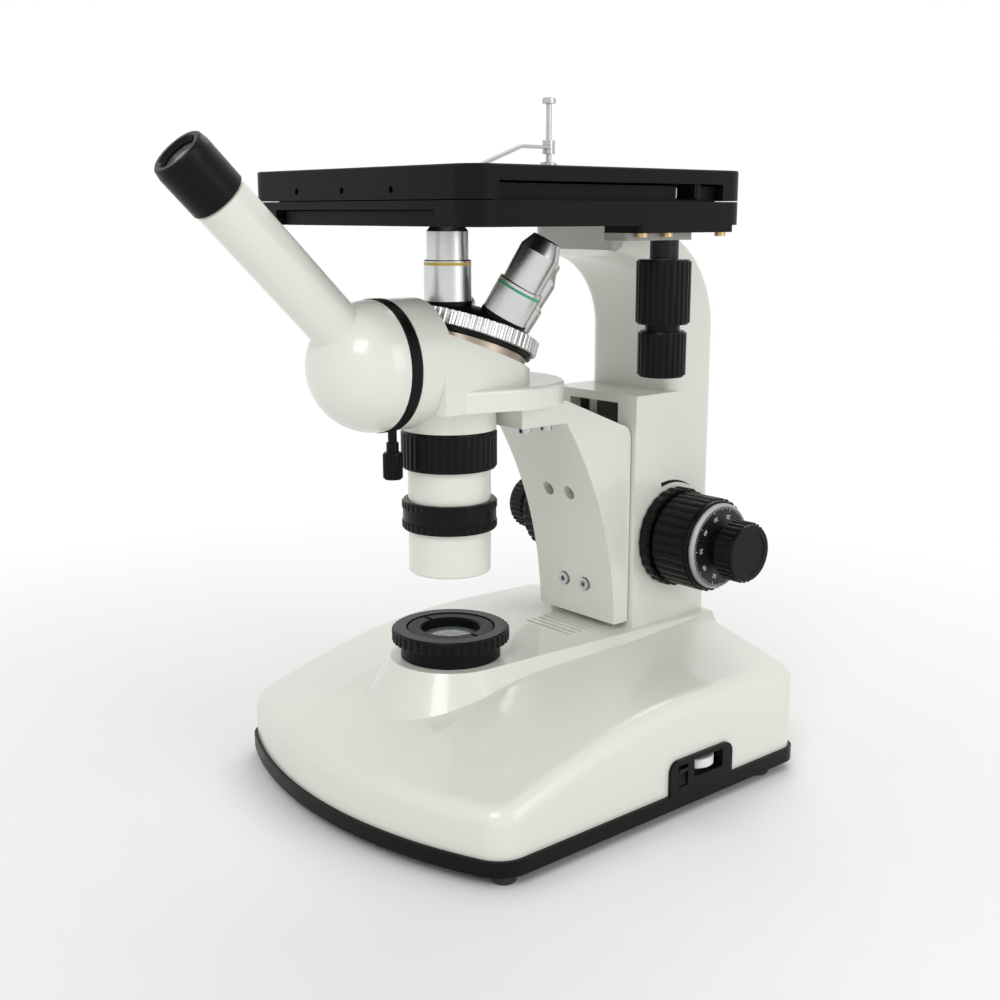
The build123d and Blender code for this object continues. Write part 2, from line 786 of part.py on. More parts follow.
def knob(points, side):
    """A turned knob on the drive axis from (radius, distance from the middle) points."""
    return Pos(0, drive_y, drive_z) * Rot(0, 90 * side, 0) * turned(points)


def make_coarse_knob(side):
    x0, x1 = coarse_start_x, coarse_start_x + coarse_width
    bore = coarse_shaft_radius + seat
    return knob([(bore, x0 + 2), (coarse_radius - 5, x0 + 2), (coarse_radius - 5, x0), (coarse_radius - 1, x0),
                 (coarse_radius, x0 + 1), (coarse_radius, x1 - 1.5), (coarse_radius - 1.5, x1),
                 (fine_stem_radius + 1.5, x1), (fine_stem_radius + 1.5, x1 - 3.6), (bore, x1 - 3.6)], side)


def make_tension_ring():
    x0 = column_half_width + 0.5
    x1 = x0 + tension_width
    bore = bush_radius + gap
    return knob([(bore, x0), (tension_radius - 1, x0), (tension_radius, x0 + 1), (tension_radius, x1 - 1),
                 (tension_radius - 1, x1), (bore, x1)], 1)


def make_fine_knob(side):
    start = coarse_start_x + coarse_width + gap + (dial_width if side > 0 else 0)
    bore = fine_shaft_radius + seat
    return knob([(bore, start), (fine_stem_radius, start), (fine_stem_radius, fine_start_x),
                 (fine_radius - 1, fine_start_x), (fine_radius, fine_start_x + 1), (fine_radius, fine_end_x - 1.5),
                 (fine_radius - 1.5, fine_end_x), (fine_radius - 4, fine_end_x), (fine_radius - 5, fine_end_x - 0.8),
                 (0, fine_end_x - 0.8), (0, fine_end_x - 3), (bore, fine_end_x - 3)], side)


def make_fine_dial():
    x0 = coarse_start_x + coarse_width + gap
    x1 = x0 + dial_width
    return knob([(fine_shaft_radius + seat, x0), (dial_radius, x0), (dial_radius, x1 - 1.6),
                 (dial_radius - 1.6, x1), (fine_shaft_radius + seat, x1)], 1)


def make_fine_shaft():
    return along_x(fine_shaft_radius, -fine_end_x + 3.1, fine_end_x - 3.1)


def make_fine_slide():
    points = slide_section(fine_slide_half, bracket_rear_y, fine_slide_rear_y, fine_v, fine_v_y)
    slide = plan_profile(points, fine_slide_bottom_z, fine_slide_bottom_z + fine_slide_length)
    for x, z in bracket_screw_places():
        slide -= along_y(bracket_screw_radius + seat, bracket_rear_y - 1, bracket_rear_y + 11, z, x)
    return slide


# Focusing bracket

def bracket_screw_places():
    return [(s * bracket_screw_x, z) for s in (-1, 1) for z in bracket_screw_z]


def make_bracket():
    y0, y1 = bracket_flange_y, bracket_flange_rear_y
    z0, z1 = bracket_flange_z, bracket_flange_z + bracket_flange_thickness
    rear, bottom = bracket_rear_y, bracket_bottom_z
    outline = [
        Line((0, y0, z0), (0, y0, z1)),
        Line((0, y0, z1), (0, y1, z1)),
        Line((0, y1, z1), (0, 98.5, 194.6)),
        ThreePointArc((0, 98.5, 194.6), (0, 103.9, 191.4), (0, rear, 186)),
        Line((0, rear, 186), (0, rear, bottom)),
        Line((0, rear, bottom), (0, 95, bottom)),
        ThreePointArc((0, 95, bottom), (0, 84, 143), (0, y1, z0)),
        Line((0, y1, z0), (0, y0, z0)),
    ]
    body = extrude(make_face(outline), bracket_half_width, dir=(1, 0, 0), both=True)
    body -= post(neck_radius + 0.1, z0 - 1, z1 + 1)
    for x, z in bracket_screw_places():
        body -= along_y(bracket_screw_radius + gap, 50, rear + 1, z, x)
        body -= along_y(bracket_screw_radius + 2, 50, bracket_screw_seat_y, z, x)
    for x, y in head_screw_places():
        body -= post(bracket_screw_radius + gap, z0 - 1, z1 + 1, x, y)
    return body


def make_bracket_screws():
    screws = []
    for x, z in bracket_screw_places():
        screws.append(screw((x, bracket_screw_seat_y, z), (0, -1, 0), bracket_screw_radius, 19, 3.5, 4))
    return screws


# Head

def turret_plane(t):
    return Plane(origin=turret_apex + turret_axis * t, x_dir=(1, 0, 0), z_dir=turret_axis)


def turret_disc(radius, low, high):
    return extrude(turret_plane(low) * Circle(radius), high - low)


def turret_place(radius, angle, t):
    """A point on the turret, counted from the front of the turret round to the right."""
    a = math.radians(angle)
    return turret_apex + turret_axis * t + (turret_front * math.cos(a) + Vector(1, 0, 0) * math.sin(a)) * radius


def head_screw_places():
    return [(s * head_screw_x, y) for s in (-1, 1) for y in head_screw_y]


def turret_screw_angles():
    return (90, 180, 270)


def make_head_casting():
    barrel = along_y(head_radius, head_front_y, body_end_y, head_z)
    body = block(-head_radius, head_radius, head_flat_y, body_end_y, head_plate_z, head_z)
    upright = post(head_radius, head_plate_z, head_z + head_radius, 0, body_end_y)
    plate_plan = Pos(0, head_plate_y) * Circle(head_plate_radius)
    for x in (-27, 27):
        plate_plan += Pos(x * 0.93, -20) * Circle(6)
    plate = extrude(Pos(0, 0, head_plate_z) * make_hull(plate_plan.edges()), head_plate_thickness)
    plate = fillet(plate.edges().filter_by(lambda e: e.center().Z > head_plate_z + head_plate_thickness - 0.1), 2)
    neck = post(neck_radius, bracket_flange_z - gap, head_plate_z)
    casting = barrel + body + upright + plate + neck
    casting -= turret_disc(turret_ring_radius + turret_clearance, turret_base_low, 120)
    casting -= block(-60, 60, head_flat_y + 6, 80, head_z + 3, 330) & turret_disc(90, turret_base_low, 200)
    casting -= post(light_bore_radius, bracket_flange_z - 1, 260)
    casting -= along_y(image_bore_radius, head_front_y - 1, 0, head_z)
    spigot_end = head_front_y + spigot_length + 1
    casting -= along_y(spigot_radius + gap, head_front_y - 1, spigot_end, head_z)
    casting -= post(tube_radius + seat, bracket_flange_z - 1, bracket_flange_z + tube_socket)
    casting -= post(lock_rod_radius + 0.15, head_z - head_radius - 1, head_z - spigot_radius + 1, 0, lock_y)
    for x, y in head_screw_places():
        casting -= post(bracket_screw_radius + seat, head_plate_z - 1, head_plate_z + 9, x, y)
    for angle in turret_screw_angles():
        casting -= rod(1.5 + seat, turret_place(22, angle, turret_base_low), turret_axis, -9, 1)
    return casting


def make_head_screws():
    return [screw((x, y, bracket_flange_z), (0, 0, -1), bracket_screw_radius, 20, 3.5, 3.8)
            for x, y in head_screw_places()]


def splitter_plane():
    return Plane(origin=(0, 0, head_z), x_dir=(1, 0, 0), z_dir=(0, -1, 1))


def make_beam_splitter():
    return extrude(splitter_plane() * Rectangle(16, 15.5), -1.2)


def make_splitter_frame():
    outer = light_bore_radius - seat
    frame = post(outer, head_z - 9.5, head_z + 3) - post(outer - 2, head_z - 10, head_z + 4)
    frame -= along_y(8.0, -20, 0, head_z)
    seat_plate = extrude(splitter_plane().offset(-1.2) * Rectangle(18.4, 19), -1.5)
    seat_plate &= post(outer - 1, head_z - 9.5, head_z + 3)
    seat_plate -= rod(6.5, (0, 0, head_z), (0, 0, 1), -12, 12)
    return frame - extrude(splitter_plane().offset(0.05) * Rectangle(16.2, 15.7), -1.25) + seat_plate


def make_illuminator_tube():
    low, high = tube_bottom_z, bracket_flange_z + tube_socket
    bore = tube_radius - tube_wall
    tube = turned([(bore - 2.5, low), (tube_radius - 0.6, low), (tube_radius, low + 0.6), (tube_radius, high),
                   (bore, high), (bore, low + 3), (bore - 2.5, low + 3)])
    for z in ring_groove_heights():
        half = ring_groove_width / 2
        tube -= turned([(tube_radius - ring_groove_depth, z - half), (tube_radius + 1, z - half),
                        (tube_radius + 1, z + half), (tube_radius - ring_groove_depth, z + half)])
    return tube


def aperture_ring_low():
    return bracket_flange_z - 2 * gap - aperture_ring_width


def ring_groove_heights():
    return (field_ring_low_z + field_ring_width / 2, aperture_ring_low() + aperture_ring_width / 2)


def make_tube_lens():
    edge = tube_radius - tube_wall - seat
    low = tube_bottom_z + 3
    arc = [(edge * i / 6, low + 3 + 2.5 * (1 - (i / 6) ** 2)) for i in range(6, -1, -1)]
    return turned([(0, low), (edge, low)] + arc)


def turning_ring(low, width, screw_angle):
    """A ring that turns on the illuminator tube, with a hole for its set screw."""
    bore = tube_radius + gap
    ring = turned([(bore, low), (ring_radius - 0.8, low), (ring_radius, low + 0.8), (ring_radius, low + width - 0.8),
                   (ring_radius - 0.8, low + width), (bore, low + width)])
    a = math.radians(screw_angle)
    axis = (math.sin(a), -math.cos(a), 0)
    return ring - rod(set_screw_radius + seat, (0, 0, low + width / 2), axis, 10, 40)


def set_screw(z, screw_angle):
    a = math.radians(screw_angle)
    axis = (math.sin(a), -math.cos(a), 0)
    pin = rod(set_screw_radius, (0, 0, z), axis, tube_radius - ring_groove_depth + gap, ring_radius - 0.3)
    plane = Plane(origin=Vector(0, 0, z) + Vector(*axis) * (ring_radius - 1.3), z_dir=axis)
    return pin - extrude(plane * RegularPolygon(0.7, 6), 2)


# Turret

def make_turret_base():
    base = turret_disc(turret_base_radius, turret_base_low, turret_base_high)
    base += turret_disc(turret_stud_radius, turret_base_high, turret_base_high + 9)
    base -= post(9, 200, 280)
    for angle in turret_screw_angles():
        at = turret_place(22, angle, turret_base_high)
        base -= rod(1.7, at, turret_axis, -6, 1) + rod(2.9, at, turret_axis, -2.6, 1)
    return base


def make_turret_screws():
    return [screw(turret_place(22, angle, turret_base_high - 2.6), turret_axis, 1.5, 9, 2.75, 2.2)
            for angle in turret_screw_angles()]


def port_axis(angle):
    a = math.radians(angle)
    side = turret_front * math.cos(a) + Vector(1, 0, 0) * math.sin(a)
    return turret_axis * math.cos(tilt) + side * math.sin(tilt)


def port_angles():
    return [360 * i / port_count for i in range(port_count)]


def make_turret_dome():
    low = turret_base_high + 0.4
    body = turret_disc(dome_edge_radius, low, dome_radius + 2) & Pos(0, 0, apex_z) * Sphere(dome_radius)
    for angle in port_angles():
        body += rod(port_boss_radius, turret_apex, port_axis(angle), apex_length - 9, apex_length)
    for angle in port_angles():
        axis = port_axis(angle)
        body -= rod(thread_radius + seat, turret_apex, axis, apex_length - thread_length - 1, apex_length + 1)
        body -= rod(port_light_radius, turret_apex, axis, 30, apex_length)
    return body - turret_disc(turret_stud_radius + gap, turret_base_high, turret_base_high + 9.5)


def make_turret_ring():
    ring = turret_disc(turret_ring_radius, turret_ring_low, turret_ring_high)
    rims = ring.edges()
    return chamfer(rims, 0.8) - turret_disc(dome_edge_radius + seat, turret_ring_low - 1, turret_ring_high + 1)


def objective(points, bore, angle):
    """An objective from (radius, height) points above its shoulder, with its thread below."""
    body = [(thread_radius, -thread_length), (thread_radius, 0)] + points
    shape = turned([(0, -thread_length + 2)] + [(bore + 2, -thread_length + 2), (bore + 2, -thread_length)] + body)
    tip = points[-1][1]
    shape -= turned([(0, tip - 0.8), (bore * 0.5, tip - 0.8), (bore * 0.9, tip + 0.1), (0, tip + 0.1)])
    axis = port_axis(angle)
    across = Vector(1, 0, 0) if abs(axis.X) < 0.1 else Vector(0, 1, 0)
    plane = Plane(origin=turret_apex + axis * apex_length, x_dir=across - axis * across.dot(axis), z_dir=axis)
    return plane.location * shape


def make_objective_10x():
    b, u = barrel_radius, upper_barrel_radius
    return objective([(b, 0), (b, 20.2), (b - 0.5, 20.7), (u, 20.7), (u, 35), (8.0, 38.5), (0, 38.5)], 7, 0)


def make_objective_40x():
    b, u = barrel_radius, upper_barrel_radius
    return objective([(b, 0), (b, 17.5), (b - 0.5, 18), (u, 18), (u, 37), (7.5, 44.2), (0, 44.2)], 6, 90)


def make_objective_100x():
    b, u = barrel_radius, upper_barrel_radius
    return objective([(b, 0), (b, 16), (b - 0.5, 16.5), (u, 16.5), (u, 33), (7.5, 41), (7.5, 44.6), (0, 44.6)], 4, 180)


def make_objective_4x():
    b = barrel_radius
    return objective([(b, 0), (b, 6), (9.6, 7), (9.6, 22), (9.0, 26), (0, 26)], 8, 270)


# Swivel head

def make_swivel_ring():
    y0, y1 = ball_y, head_front_y - gap
    ring = along_y(swivel_ring_radius, y0, y1, head_z)
    ring = chamfer([e for e in ring.edges() if e.length > 100], 0.6)
    ring += along_y(spigot_radius, y1, head_front_y + spigot_length, head_z)
    return ring - along_y(spigot_radius - 4, y0 - 1, 0, head_z)


def make_ball_housing():
    ball = Pos(0, ball_y, head_z) * Sphere(head_radius)
    ball += rod(eye_tube_radius, ball_centre, eye_axis, head_radius - 6, eye_tube_end)
    rim = [e for e in ball.edges() if e.center().Z > head_z + 0.8 * eye_tube_end * 0.7 + 10]
    ball = chamfer(rim, 0.6)
    ball -= Pos(0, ball_y, head_z) * Sphere(head_radius - ball_wall)
    ball -= rod(eye_bore_radius, ball_centre, eye_axis, 10, eye_tube_end + 1)
    return ball - block(-50, 50, ball_y, ball_y + 60, head_z - 60, head_z + 60)


def make_head_prism():
    y = ball_y
    return side_profile([(y + 5, head_z - 9), (y + 5, head_z + 9), (y - 4, head_z + 14), (y - 14, head_z + 5),
                         (y - 9, head_z - 9)], 10)


def make_prism_carrier():
    carrier = along_y(spigot_radius - 4 - seat, ball_y + 5.05, ball_y + 8, head_z) - along_y(8, ball_y, 0, head_z)
    for s in (-1, 1):
        x0, x1 = sorted((s * 10.05, s * 13))
        carrier += block(x0, x1, ball_y - 8, ball_y + 5.05, head_z - 9, head_z + 9)
    return carrier


def make_eyepiece():
    start = eye_tube_end + gap
    end = eye_tube_end + eyepiece_length
    low = eye_tube_end - eyepiece_barrel
    barrel = eye_bore_radius - 0.1
    cap = turned([(barrel - 1.5, low), (barrel, low), (barrel, start), (eyepiece_radius - 0.6, start),
                  (eyepiece_radius, start + 0.6), (eyepiece_radius, end - 5), (eyepiece_radius - 0.8, end - 0.8),
                  (eyepiece_radius - 1.8, end), (eye_lens_radius + 1.2, end), (eye_lens_radius, end - 2.4),
                  (eye_lens_radius, end - 3.4), (eye_lens_radius + 1, end - 3.4), (eye_lens_radius + 1, end - 8),
                  (eye_lens_radius - 1, end - 8), (eye_lens_radius - 1, low)])
    return eye_place() * cap


def eye_place():
    return Plane(origin=ball_centre, x_dir=(1, 0, 0), z_dir=eye_axis).location


def make_eye_lens():
    end = eye_tube_end + eyepiece_length
    edge = eye_lens_radius + 0.95
    low = end - 8
    arc = [(eye_lens_radius * 0.98 * i / 6, low + 4.55 + 0.8 * (1 - (i / 6) ** 2)) for i in range(6, -1, -1)]
    return eye_place() * turned([(0, low), (edge, low), (edge, low + 4.55)] + arc)


def make_lock_screw():
    low = lock_knob_low_z
    top = head_z - spigot_radius - 0.3
    high = low + lock_knob_length
    points = [(0, low), (lock_knob_radius - 0.6, low), (lock_knob_radius, low + 0.6), (lock_knob_radius, high - 0.6),
              (lock_knob_radius - 0.6, high), (lock_collar_radius, high), (lock_collar_radius, lock_collar_top_z),
              (lock_rod_radius, lock_collar_top_z), (lock_rod_radius, top), (0, top)]
    return Pos(0, lock_y, 0) * turned(points)


# Stage

def stage_plan(radius):
    mid = (stage_front_y + stage_rear_y) / 2
    return Pos(0, mid) * RectangleRounded(2 * stage_half_width, stage_rear_y - stage_front_y, radius)


def make_stage_base():
    z0, z1 = stage_bottom_z, stage_base_top_z
    base = block(-stage_base_half_width, stage_base_half_width, stage_base_front_y, stage_base_rear_y, z0, z1)
    base = fillet(base.edges().filter_by(Axis.Z), 4)
    opening = block(-stage_opening_half, stage_opening_half, stage_opening_front_y, base_opening_rear_y, z0 - 1, z1 + 1)
    base -= fillet(opening.edges().filter_by(Axis.Z), 8)
    for s in (-1, 1):
        for x in stage_screw_x:
            base -= post(column_screw_radius + gap, z0 - 1, z1 + 1, s * x, stage_screw_y)
            base -= post(4.6, z1 - 5, z1 + 1, s * x, stage_screw_y)
    return base


def make_stage_screws():
    at = [(s * x, stage_screw_y) for s in (-1, 1) for x in stage_screw_x]
    z = stage_base_top_z - 5
    return [screw((x, y, z), (0, 0, 1), column_screw_radius, 13, 4.2, 4.6) for x, y in at]


def stage_rack(count):
    return rack_outline(stage_pinion_module, count, 0.16, 0.9 * stage_pinion_module, -4.0)


def make_y_rack():
    pitch_x = knob_x - stage_pinion_pitch
    start = stage_base_half_width - pitch_x
    points = rack_outline(stage_pinion_module, 20, 0.16, 0.9 * stage_pinion_module, start)
    z = stage_bottom_z + 1
    return plan_profile([(pitch_x + h, knob_y + a) for a, h in points], z, z + stage_pinion_width)


def make_y_plate():
    z0, z1, z2 = y_plate_z, y_block_z, y_block_z + y_block_height
    plate = extrude(Pos(0, 0, z0) * stage_plan(stage_corner_radius), y_plate_thickness)
    inner = stage_base_half_width + gap
    skirts = extrude(Pos(0, 0, stage_bottom_z) * stage_plan(stage_corner_radius), z0 - stage_bottom_z)
    skirts -= block(-inner, inner, stage_front_y - 1, stage_rear_y + 1, stage_bottom_z - 1, z0 + 1)
    front, rear = guide_front_y + gap, guide_rear_y - gap
    plate += skirts + block(-y_block_half_width, y_block_half_width, front, rear, z1, z2)
    half = stage_opening_half
    opening = block(-half, half, stage_opening_front_y, stage_opening_rear_y, z0 - 1, z2 + 1)
    plate -= fillet(opening.edges().filter_by(Axis.Z), 8)
    reach = stage_travel + 16.5
    tip = stage_pinion_pitch + stage_pinion_module + 0.5
    plate -= block(inner - 1, knob_x + tip, knob_y - reach, knob_y + reach, stage_bottom_z - 1, z0)
    plate -= block(knob_x - reach, knob_x + reach, knob_y - tip, knob_y + tip + 3.2, z1 + 1, z2 + 1)
    plate -= post(x_shaft_radius + gap, z0 - 1, z2, knob_x, knob_y)
    for x, y in carrier_screw_places():
        plate -= post(carrier_screw_radius + seat, stage_bottom_z - 1, stage_bottom_z + 5, x, y)
    return plate


def carrier_screw_places():
    return [(88.5, carrier_front_y + 6), (88.5, carrier_rear_y - 6), (88.5, knob_y - 12)]


def bearing_screw_places():
    return [(64.0, carrier_front_y + 6), (64.0, bearing_plate_rear_y - 6)]


def make_carrier_plate():
    z0, z1 = stage_bottom_z - carrier_thickness, stage_bottom_z
    plate = block(carrier_left_x, stage_half_width, carrier_front_y, carrier_rear_y, z0, z1)
    plate = fillet(plate.edges().filter_by(Axis.Z), 3)
    for x, y in carrier_screw_places():
        plate -= post(carrier_screw_radius + gap, z0 - 1, z1 + 1, x, y)
    return plate - post(y_shaft_radius + gap, z0 - 1, z1 + 1, knob_x, knob_y)


def make_bearing_plate():
    z0, z1 = bearing_plate_z, stage_bottom_z - carrier_thickness
    plate = block(carrier_left_x, stage_half_width - 8, carrier_front_y, bearing_plate_rear_y, z0, z1)
    plate = fillet(plate.edges().filter_by(Axis.Z), 3)
    plate += post(bearing_radius, y_knob_top_z + gap, z0, knob_x, knob_y)
    return plate - post(y_shaft_radius + gap, y_knob_top_z - 1, z1 + 1, knob_x, knob_y)


def make_carrier_screws():
    z = stage_bottom_z - carrier_thickness
    return [screw((x, y, z), (0, 0, -1), carrier_screw_radius, 8, 2.8, 2) for x, y in carrier_screw_places()]


def knob_shape(points):
    return Pos(knob_x, knob_y, 0) * turned(points)


def make_y_knob():
    z1 = y_knob_top_z
    z0 = z1 - y_knob_length
    r, bore = y_knob_radius, y_shaft_radius + seat
    return knob_shape([(bore, z0), (r - 1, z0), (r, z0 + 1), (r, z1 - 1), (r - 1, z1), (bore, z1)])


def make_x_knob():
    z2 = y_knob_top_z - y_knob_length - gap
    z1 = z2 - x_neck_length + gap
    z0 = z1 - x_knob_length
    r, bore = x_knob_radius, x_shaft_radius + seat
    return knob_shape([(0, z0), (r - 1.2, z0), (r, z0 + 1.2), (r, z1 - 1), (r - 1, z1), (x_neck_radius, z1),
                       (x_neck_radius, z2), (bore, z2), (bore, z0 + 4), (0, z0 + 4)])


def stage_pinion(low):
    teeth = gear_outline(stage_pinion_module, stage_pinion_teeth, 0.16)
    return Pos(knob_x, knob_y, 0) * plan_profile(teeth, low, low + stage_pinion_width)


def make_y_pinion():
    low = y_knob_top_z - y_knob_length + 4
    high = stage_bottom_z + 1 + stage_pinion_width
    shaft = post(y_shaft_radius, low, high, knob_x, knob_y) + stage_pinion(stage_bottom_z + 1)
    return shaft - post(x_shaft_radius + gap, low - 1, high + 1, knob_x, knob_y)


def make_x_pinion():
    low = y_knob_top_z - y_knob_length - x_neck_length - x_knob_length + 4.1
    teeth_z = y_block_z + 1.8
    return post(x_shaft_radius, low, teeth_z + 1, knob_x, knob_y) + stage_pinion(teeth_z)


def make_x_rack():
    pitch_y = knob_y + stage_pinion_pitch
    points = rack_outline(stage_pinion_module, 20, 0.16, 0.9 * stage_pinion_module, -3.4)
    z = y_block_z + 1.8
    return plan_profile([(knob_x + a, pitch_y - h) for a, h in points], z, stage_top_z)


def make_stage_top():
    z0, z1 = stage_top_z, stage_surface_z
    low = z0 - stage_flange_depth
    plan = stage_plan(stage_corner_radius)
    top = extrude(Pos(0, 0, low) * plan, z1 - low)
    top = chamfer(top.edges().filter_by(lambda e: e.center().Z > z1 - 0.01), 0.6)
    top -= block(-200, 200, guide_front_y, guide_rear_y, low - 1, z0)
    top -= post(insert_radius - insert_ledge, z0 - 1, z1 + 1)
    top -= post(insert_radius + seat, z1 - insert_thickness, z1 + 1)
    for i in (-1, 0, 1):
        x = front_hole_mid_x + i * front_hole_pitch
        top -= along_y(front_hole_radius, stage_front_y - 1, stage_front_y + front_hole_depth, z1 - front_hole_below, x)
    return top - post(clip_post_radius + seat, z0 - 1, z1 + 1, 0, clip_y)


def make_stage_insert():
    z0, z1 = stage_surface_z - insert_thickness, stage_surface_z
    return turned([(insert_hole_radius, z0), (insert_radius, z0), (insert_radius, z1),
                   (insert_hole_radius + 1.2, z1), (insert_hole_radius, z1 - 1.2)])


# Clip

def make_clip_post():
    z0 = stage_surface_z
    z1 = z0 + clip_post_length
    z2 = z1 + clip_cap_height
    return Pos(0, clip_y, 0) * turned([
        (0, z0 - 5), (clip_post_radius, z0 - 5), (clip_post_radius, z0), (clip_boss_radius, z0),
        (clip_boss_radius, z0 + clip_boss_height - 0.6), (clip_boss_radius - 0.6, z0 + clip_boss_height),
        (clip_post_radius, z0 + clip_boss_height), (clip_post_radius, z1), (clip_cap_radius, z1),
        (clip_cap_radius, z2 - 0.5), (clip_cap_radius - 0.5, z2), (0, z2)])


def make_clip_collar():
    z0 = clip_collar_z
    bore = clip_post_radius + 0.15
    nut, neck = clip_nut_radius, clip_sleeve_radius
    z1, z2 = z0 + clip_nut_height, z0 + clip_nut_height + clip_arm_thickness + 2 * gap
    z3 = z2 + clip_nut_height
    return Pos(0, clip_y, 0) * turned([(bore, z0), (nut, z0), (nut, z1), (neck, z1), (neck, z2), (nut, z2),
                                       (nut, z3), (bore, z3)])


def make_clip_arm():
    z0 = clip_collar_z + clip_nut_height + gap
    z1 = z0 + clip_arm_thickness
    t = clip_arm_thickness
    tip = stage_surface_z + 0.4
    points = [(clip_y, z0), (clip_y, z1), (clip_y - 20, z1), (20, tip + t + 1.4), (13, tip + t), (9, tip + t + 0.6),
              (9, tip + 0.6), (13, tip), (20, tip + 1.4), (clip_y - 20, z0)]
    arm = side_profile(points, clip_arm_width / 2) + post(clip_nut_radius, z0, z1, 0, clip_y)
    return arm - post(clip_sleeve_radius + 0.2, z0 - 1, z1 + 1, 0, clip_y)


def make_base_screws():
    """Four screws through the feet and four that hold the column from inside the shell."""
    screws = [screw((x, y, 3.5), (0, 0, -1), foot_screw_radius, 21, 3.6, 2.4) for x, y in foot_places()]
    z = platform_z - shell_wall - 0.5
    for x, y in column_screw_places():
        screws.append(screw((x, y, z), (0, 0, -1), column_screw_radius, 19, 3.9, 5))
    return screws


def make_aperture_ring():
    low = aperture_ring_low()
    return [turning_ring(low, aperture_ring_width, 180), set_screw(low + aperture_ring_width / 2, 180)]


def make_field_ring():
    low = field_ring_low_z
    return [turning_ring(low, field_ring_width, 60), set_screw(low + field_ring_width / 2, 60)]


os.makedirs("parts", exist_ok=True)
write("base_shell", make_base_shell())
write("bottom_plate", make_bottom_plate())
write("rubber_feet", *make_feet())
write("base_screws", *make_base_screws())
write("side_panel", make_side_panel())
write("brightness_wheel", make_brightness_wheel())
write("power_rocker", make_power_rocker())
write("power_inlet", make_power_inlet())
write("supply_board", make_power_board(), make_dimmer(), make_lamp_socket(), make_mirror_mount())
write("base_mirror", make_base_mirror())
write("lamp", make_lamp())
write("collector_mount", make_collector_mount(), make_lens_retainer())
write("collector_ring", make_collector_ring())
write("collector_lens", make_collector_lens())
write("column_casting", make_column())
write("column_screws", *make_rail_screws(), *make_stage_screws())
write("guide_rails", *make_guide_rails(), make_y_rack())
write("shaft_bushes", *make_shaft_bushes())
write("coarse_slide", make_coarse_slide(), make_focus_rack())
write("pinion_shaft", make_pinion_shaft())
write("coarse_knobs", make_coarse_knob(1), make_coarse_knob(-1))
write("tension_ring", make_tension_ring())
write("fine_knobs", make_fine_knob(1), make_fine_knob(-1))
write("fine_dial", make_fine_dial(), make_fine_shaft())
write("fine_slide", make_fine_slide())
write("focus_bracket", make_bracket())
write("head_casting", make_head_casting(), make_splitter_frame())
write("head_screws", *make_bracket_screws(), *make_head_screws(), *make_turret_screws())
write("head_optics", make_beam_splitter(), make_tube_lens())
write("illuminator_tube", make_illuminator_tube())
write("aperture_ring", *make_aperture_ring())
write("field_ring", *make_field_ring())
write("turret_base", make_turret_base())
write("turret_dome", make_turret_dome())
write("turret_ring", make_turret_ring())
write("objective_10x", make_objective_10x())
write("objective_40x", make_objective_40x())
write("objective_100x", make_objective_100x())
write("objective_4x", make_objective_4x())
write("swivel_ring", make_swivel_ring())
write("ball_housing", make_ball_housing())
write("head_prism", make_head_prism(), make_prism_carrier())
write("eyepiece", make_eyepiece())
write("eye_lens", make_eye_lens())
write("lock_screw", make_lock_screw())
write("stage_base", make_stage_base())
write("y_plate", make_y_plate())
write("carrier_plate", make_carrier_plate())
write("bearing_plate", make_bearing_plate())
write("carrier_screws", *make_carrier_screws())
write("y_knob", make_y_knob())
write("y_pinion", make_y_pinion())
write("x_knob", make_x_knob())
write("x_pinion", make_x_pinion())
write("stage_top", make_stage_top())
write("x_rack", make_x_rack())
write("stage_insert", make_stage_insert())
write("clip_post", make_clip_post())
write("clip_collar", make_clip_collar())
write("clip_arm", make_clip_arm())
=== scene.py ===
"""Looks of an inverted microscope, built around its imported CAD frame. Metres, +Z up, -Y towards the user."""
import math

import bmesh
import bpy
from mathutils import Matrix, Vector


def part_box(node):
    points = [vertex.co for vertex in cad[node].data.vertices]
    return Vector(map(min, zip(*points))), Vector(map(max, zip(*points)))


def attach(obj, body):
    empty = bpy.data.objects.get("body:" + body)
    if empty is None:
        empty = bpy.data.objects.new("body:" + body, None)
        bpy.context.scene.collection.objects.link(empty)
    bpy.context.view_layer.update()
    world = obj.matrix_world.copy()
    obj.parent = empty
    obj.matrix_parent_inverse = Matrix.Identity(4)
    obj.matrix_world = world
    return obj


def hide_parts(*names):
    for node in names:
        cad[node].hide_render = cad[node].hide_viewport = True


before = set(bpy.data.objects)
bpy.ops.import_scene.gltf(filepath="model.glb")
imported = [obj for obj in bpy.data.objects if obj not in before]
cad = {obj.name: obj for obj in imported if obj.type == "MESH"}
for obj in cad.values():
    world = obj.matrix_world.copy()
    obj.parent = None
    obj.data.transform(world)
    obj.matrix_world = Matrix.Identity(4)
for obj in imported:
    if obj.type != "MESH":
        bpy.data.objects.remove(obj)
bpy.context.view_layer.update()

MM = 0.001

# Places shared with the CAD, in millimetres
DRIVE = (0.0, 139.0, 125.8)
TURRET_TILT = math.radians(21.0)
SHOULDER = 21.5 / math.sin(TURRET_TILT)
APEX_Z = 266.0 - SHOULDER
STAGE_KNOB = (76.0, 80.0)
BEARING_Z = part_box("bearing_plate")[1][2] / MM - 3.8
COLUMN_SIDE = 34.0
DIAL_FACE = 71.5

# Painted marks, in millimetres
MARK_DEPTH = 0.03
MARK_LIFT = 0.02
TICK_WIDTH = 0.22
TICK_HEIGHT = 0.08
FIGURE_SIZE = 3.3
FIGURE_RADIUS = 17.3
ARC_RADIUS = 31.2
ARC_STEPS = 24

TURRET_AXIS = Vector((0, math.sin(TURRET_TILT), math.cos(TURRET_TILT)))
TURRET_FRONT = Vector((0, -math.cos(TURRET_TILT), math.sin(TURRET_TILT)))


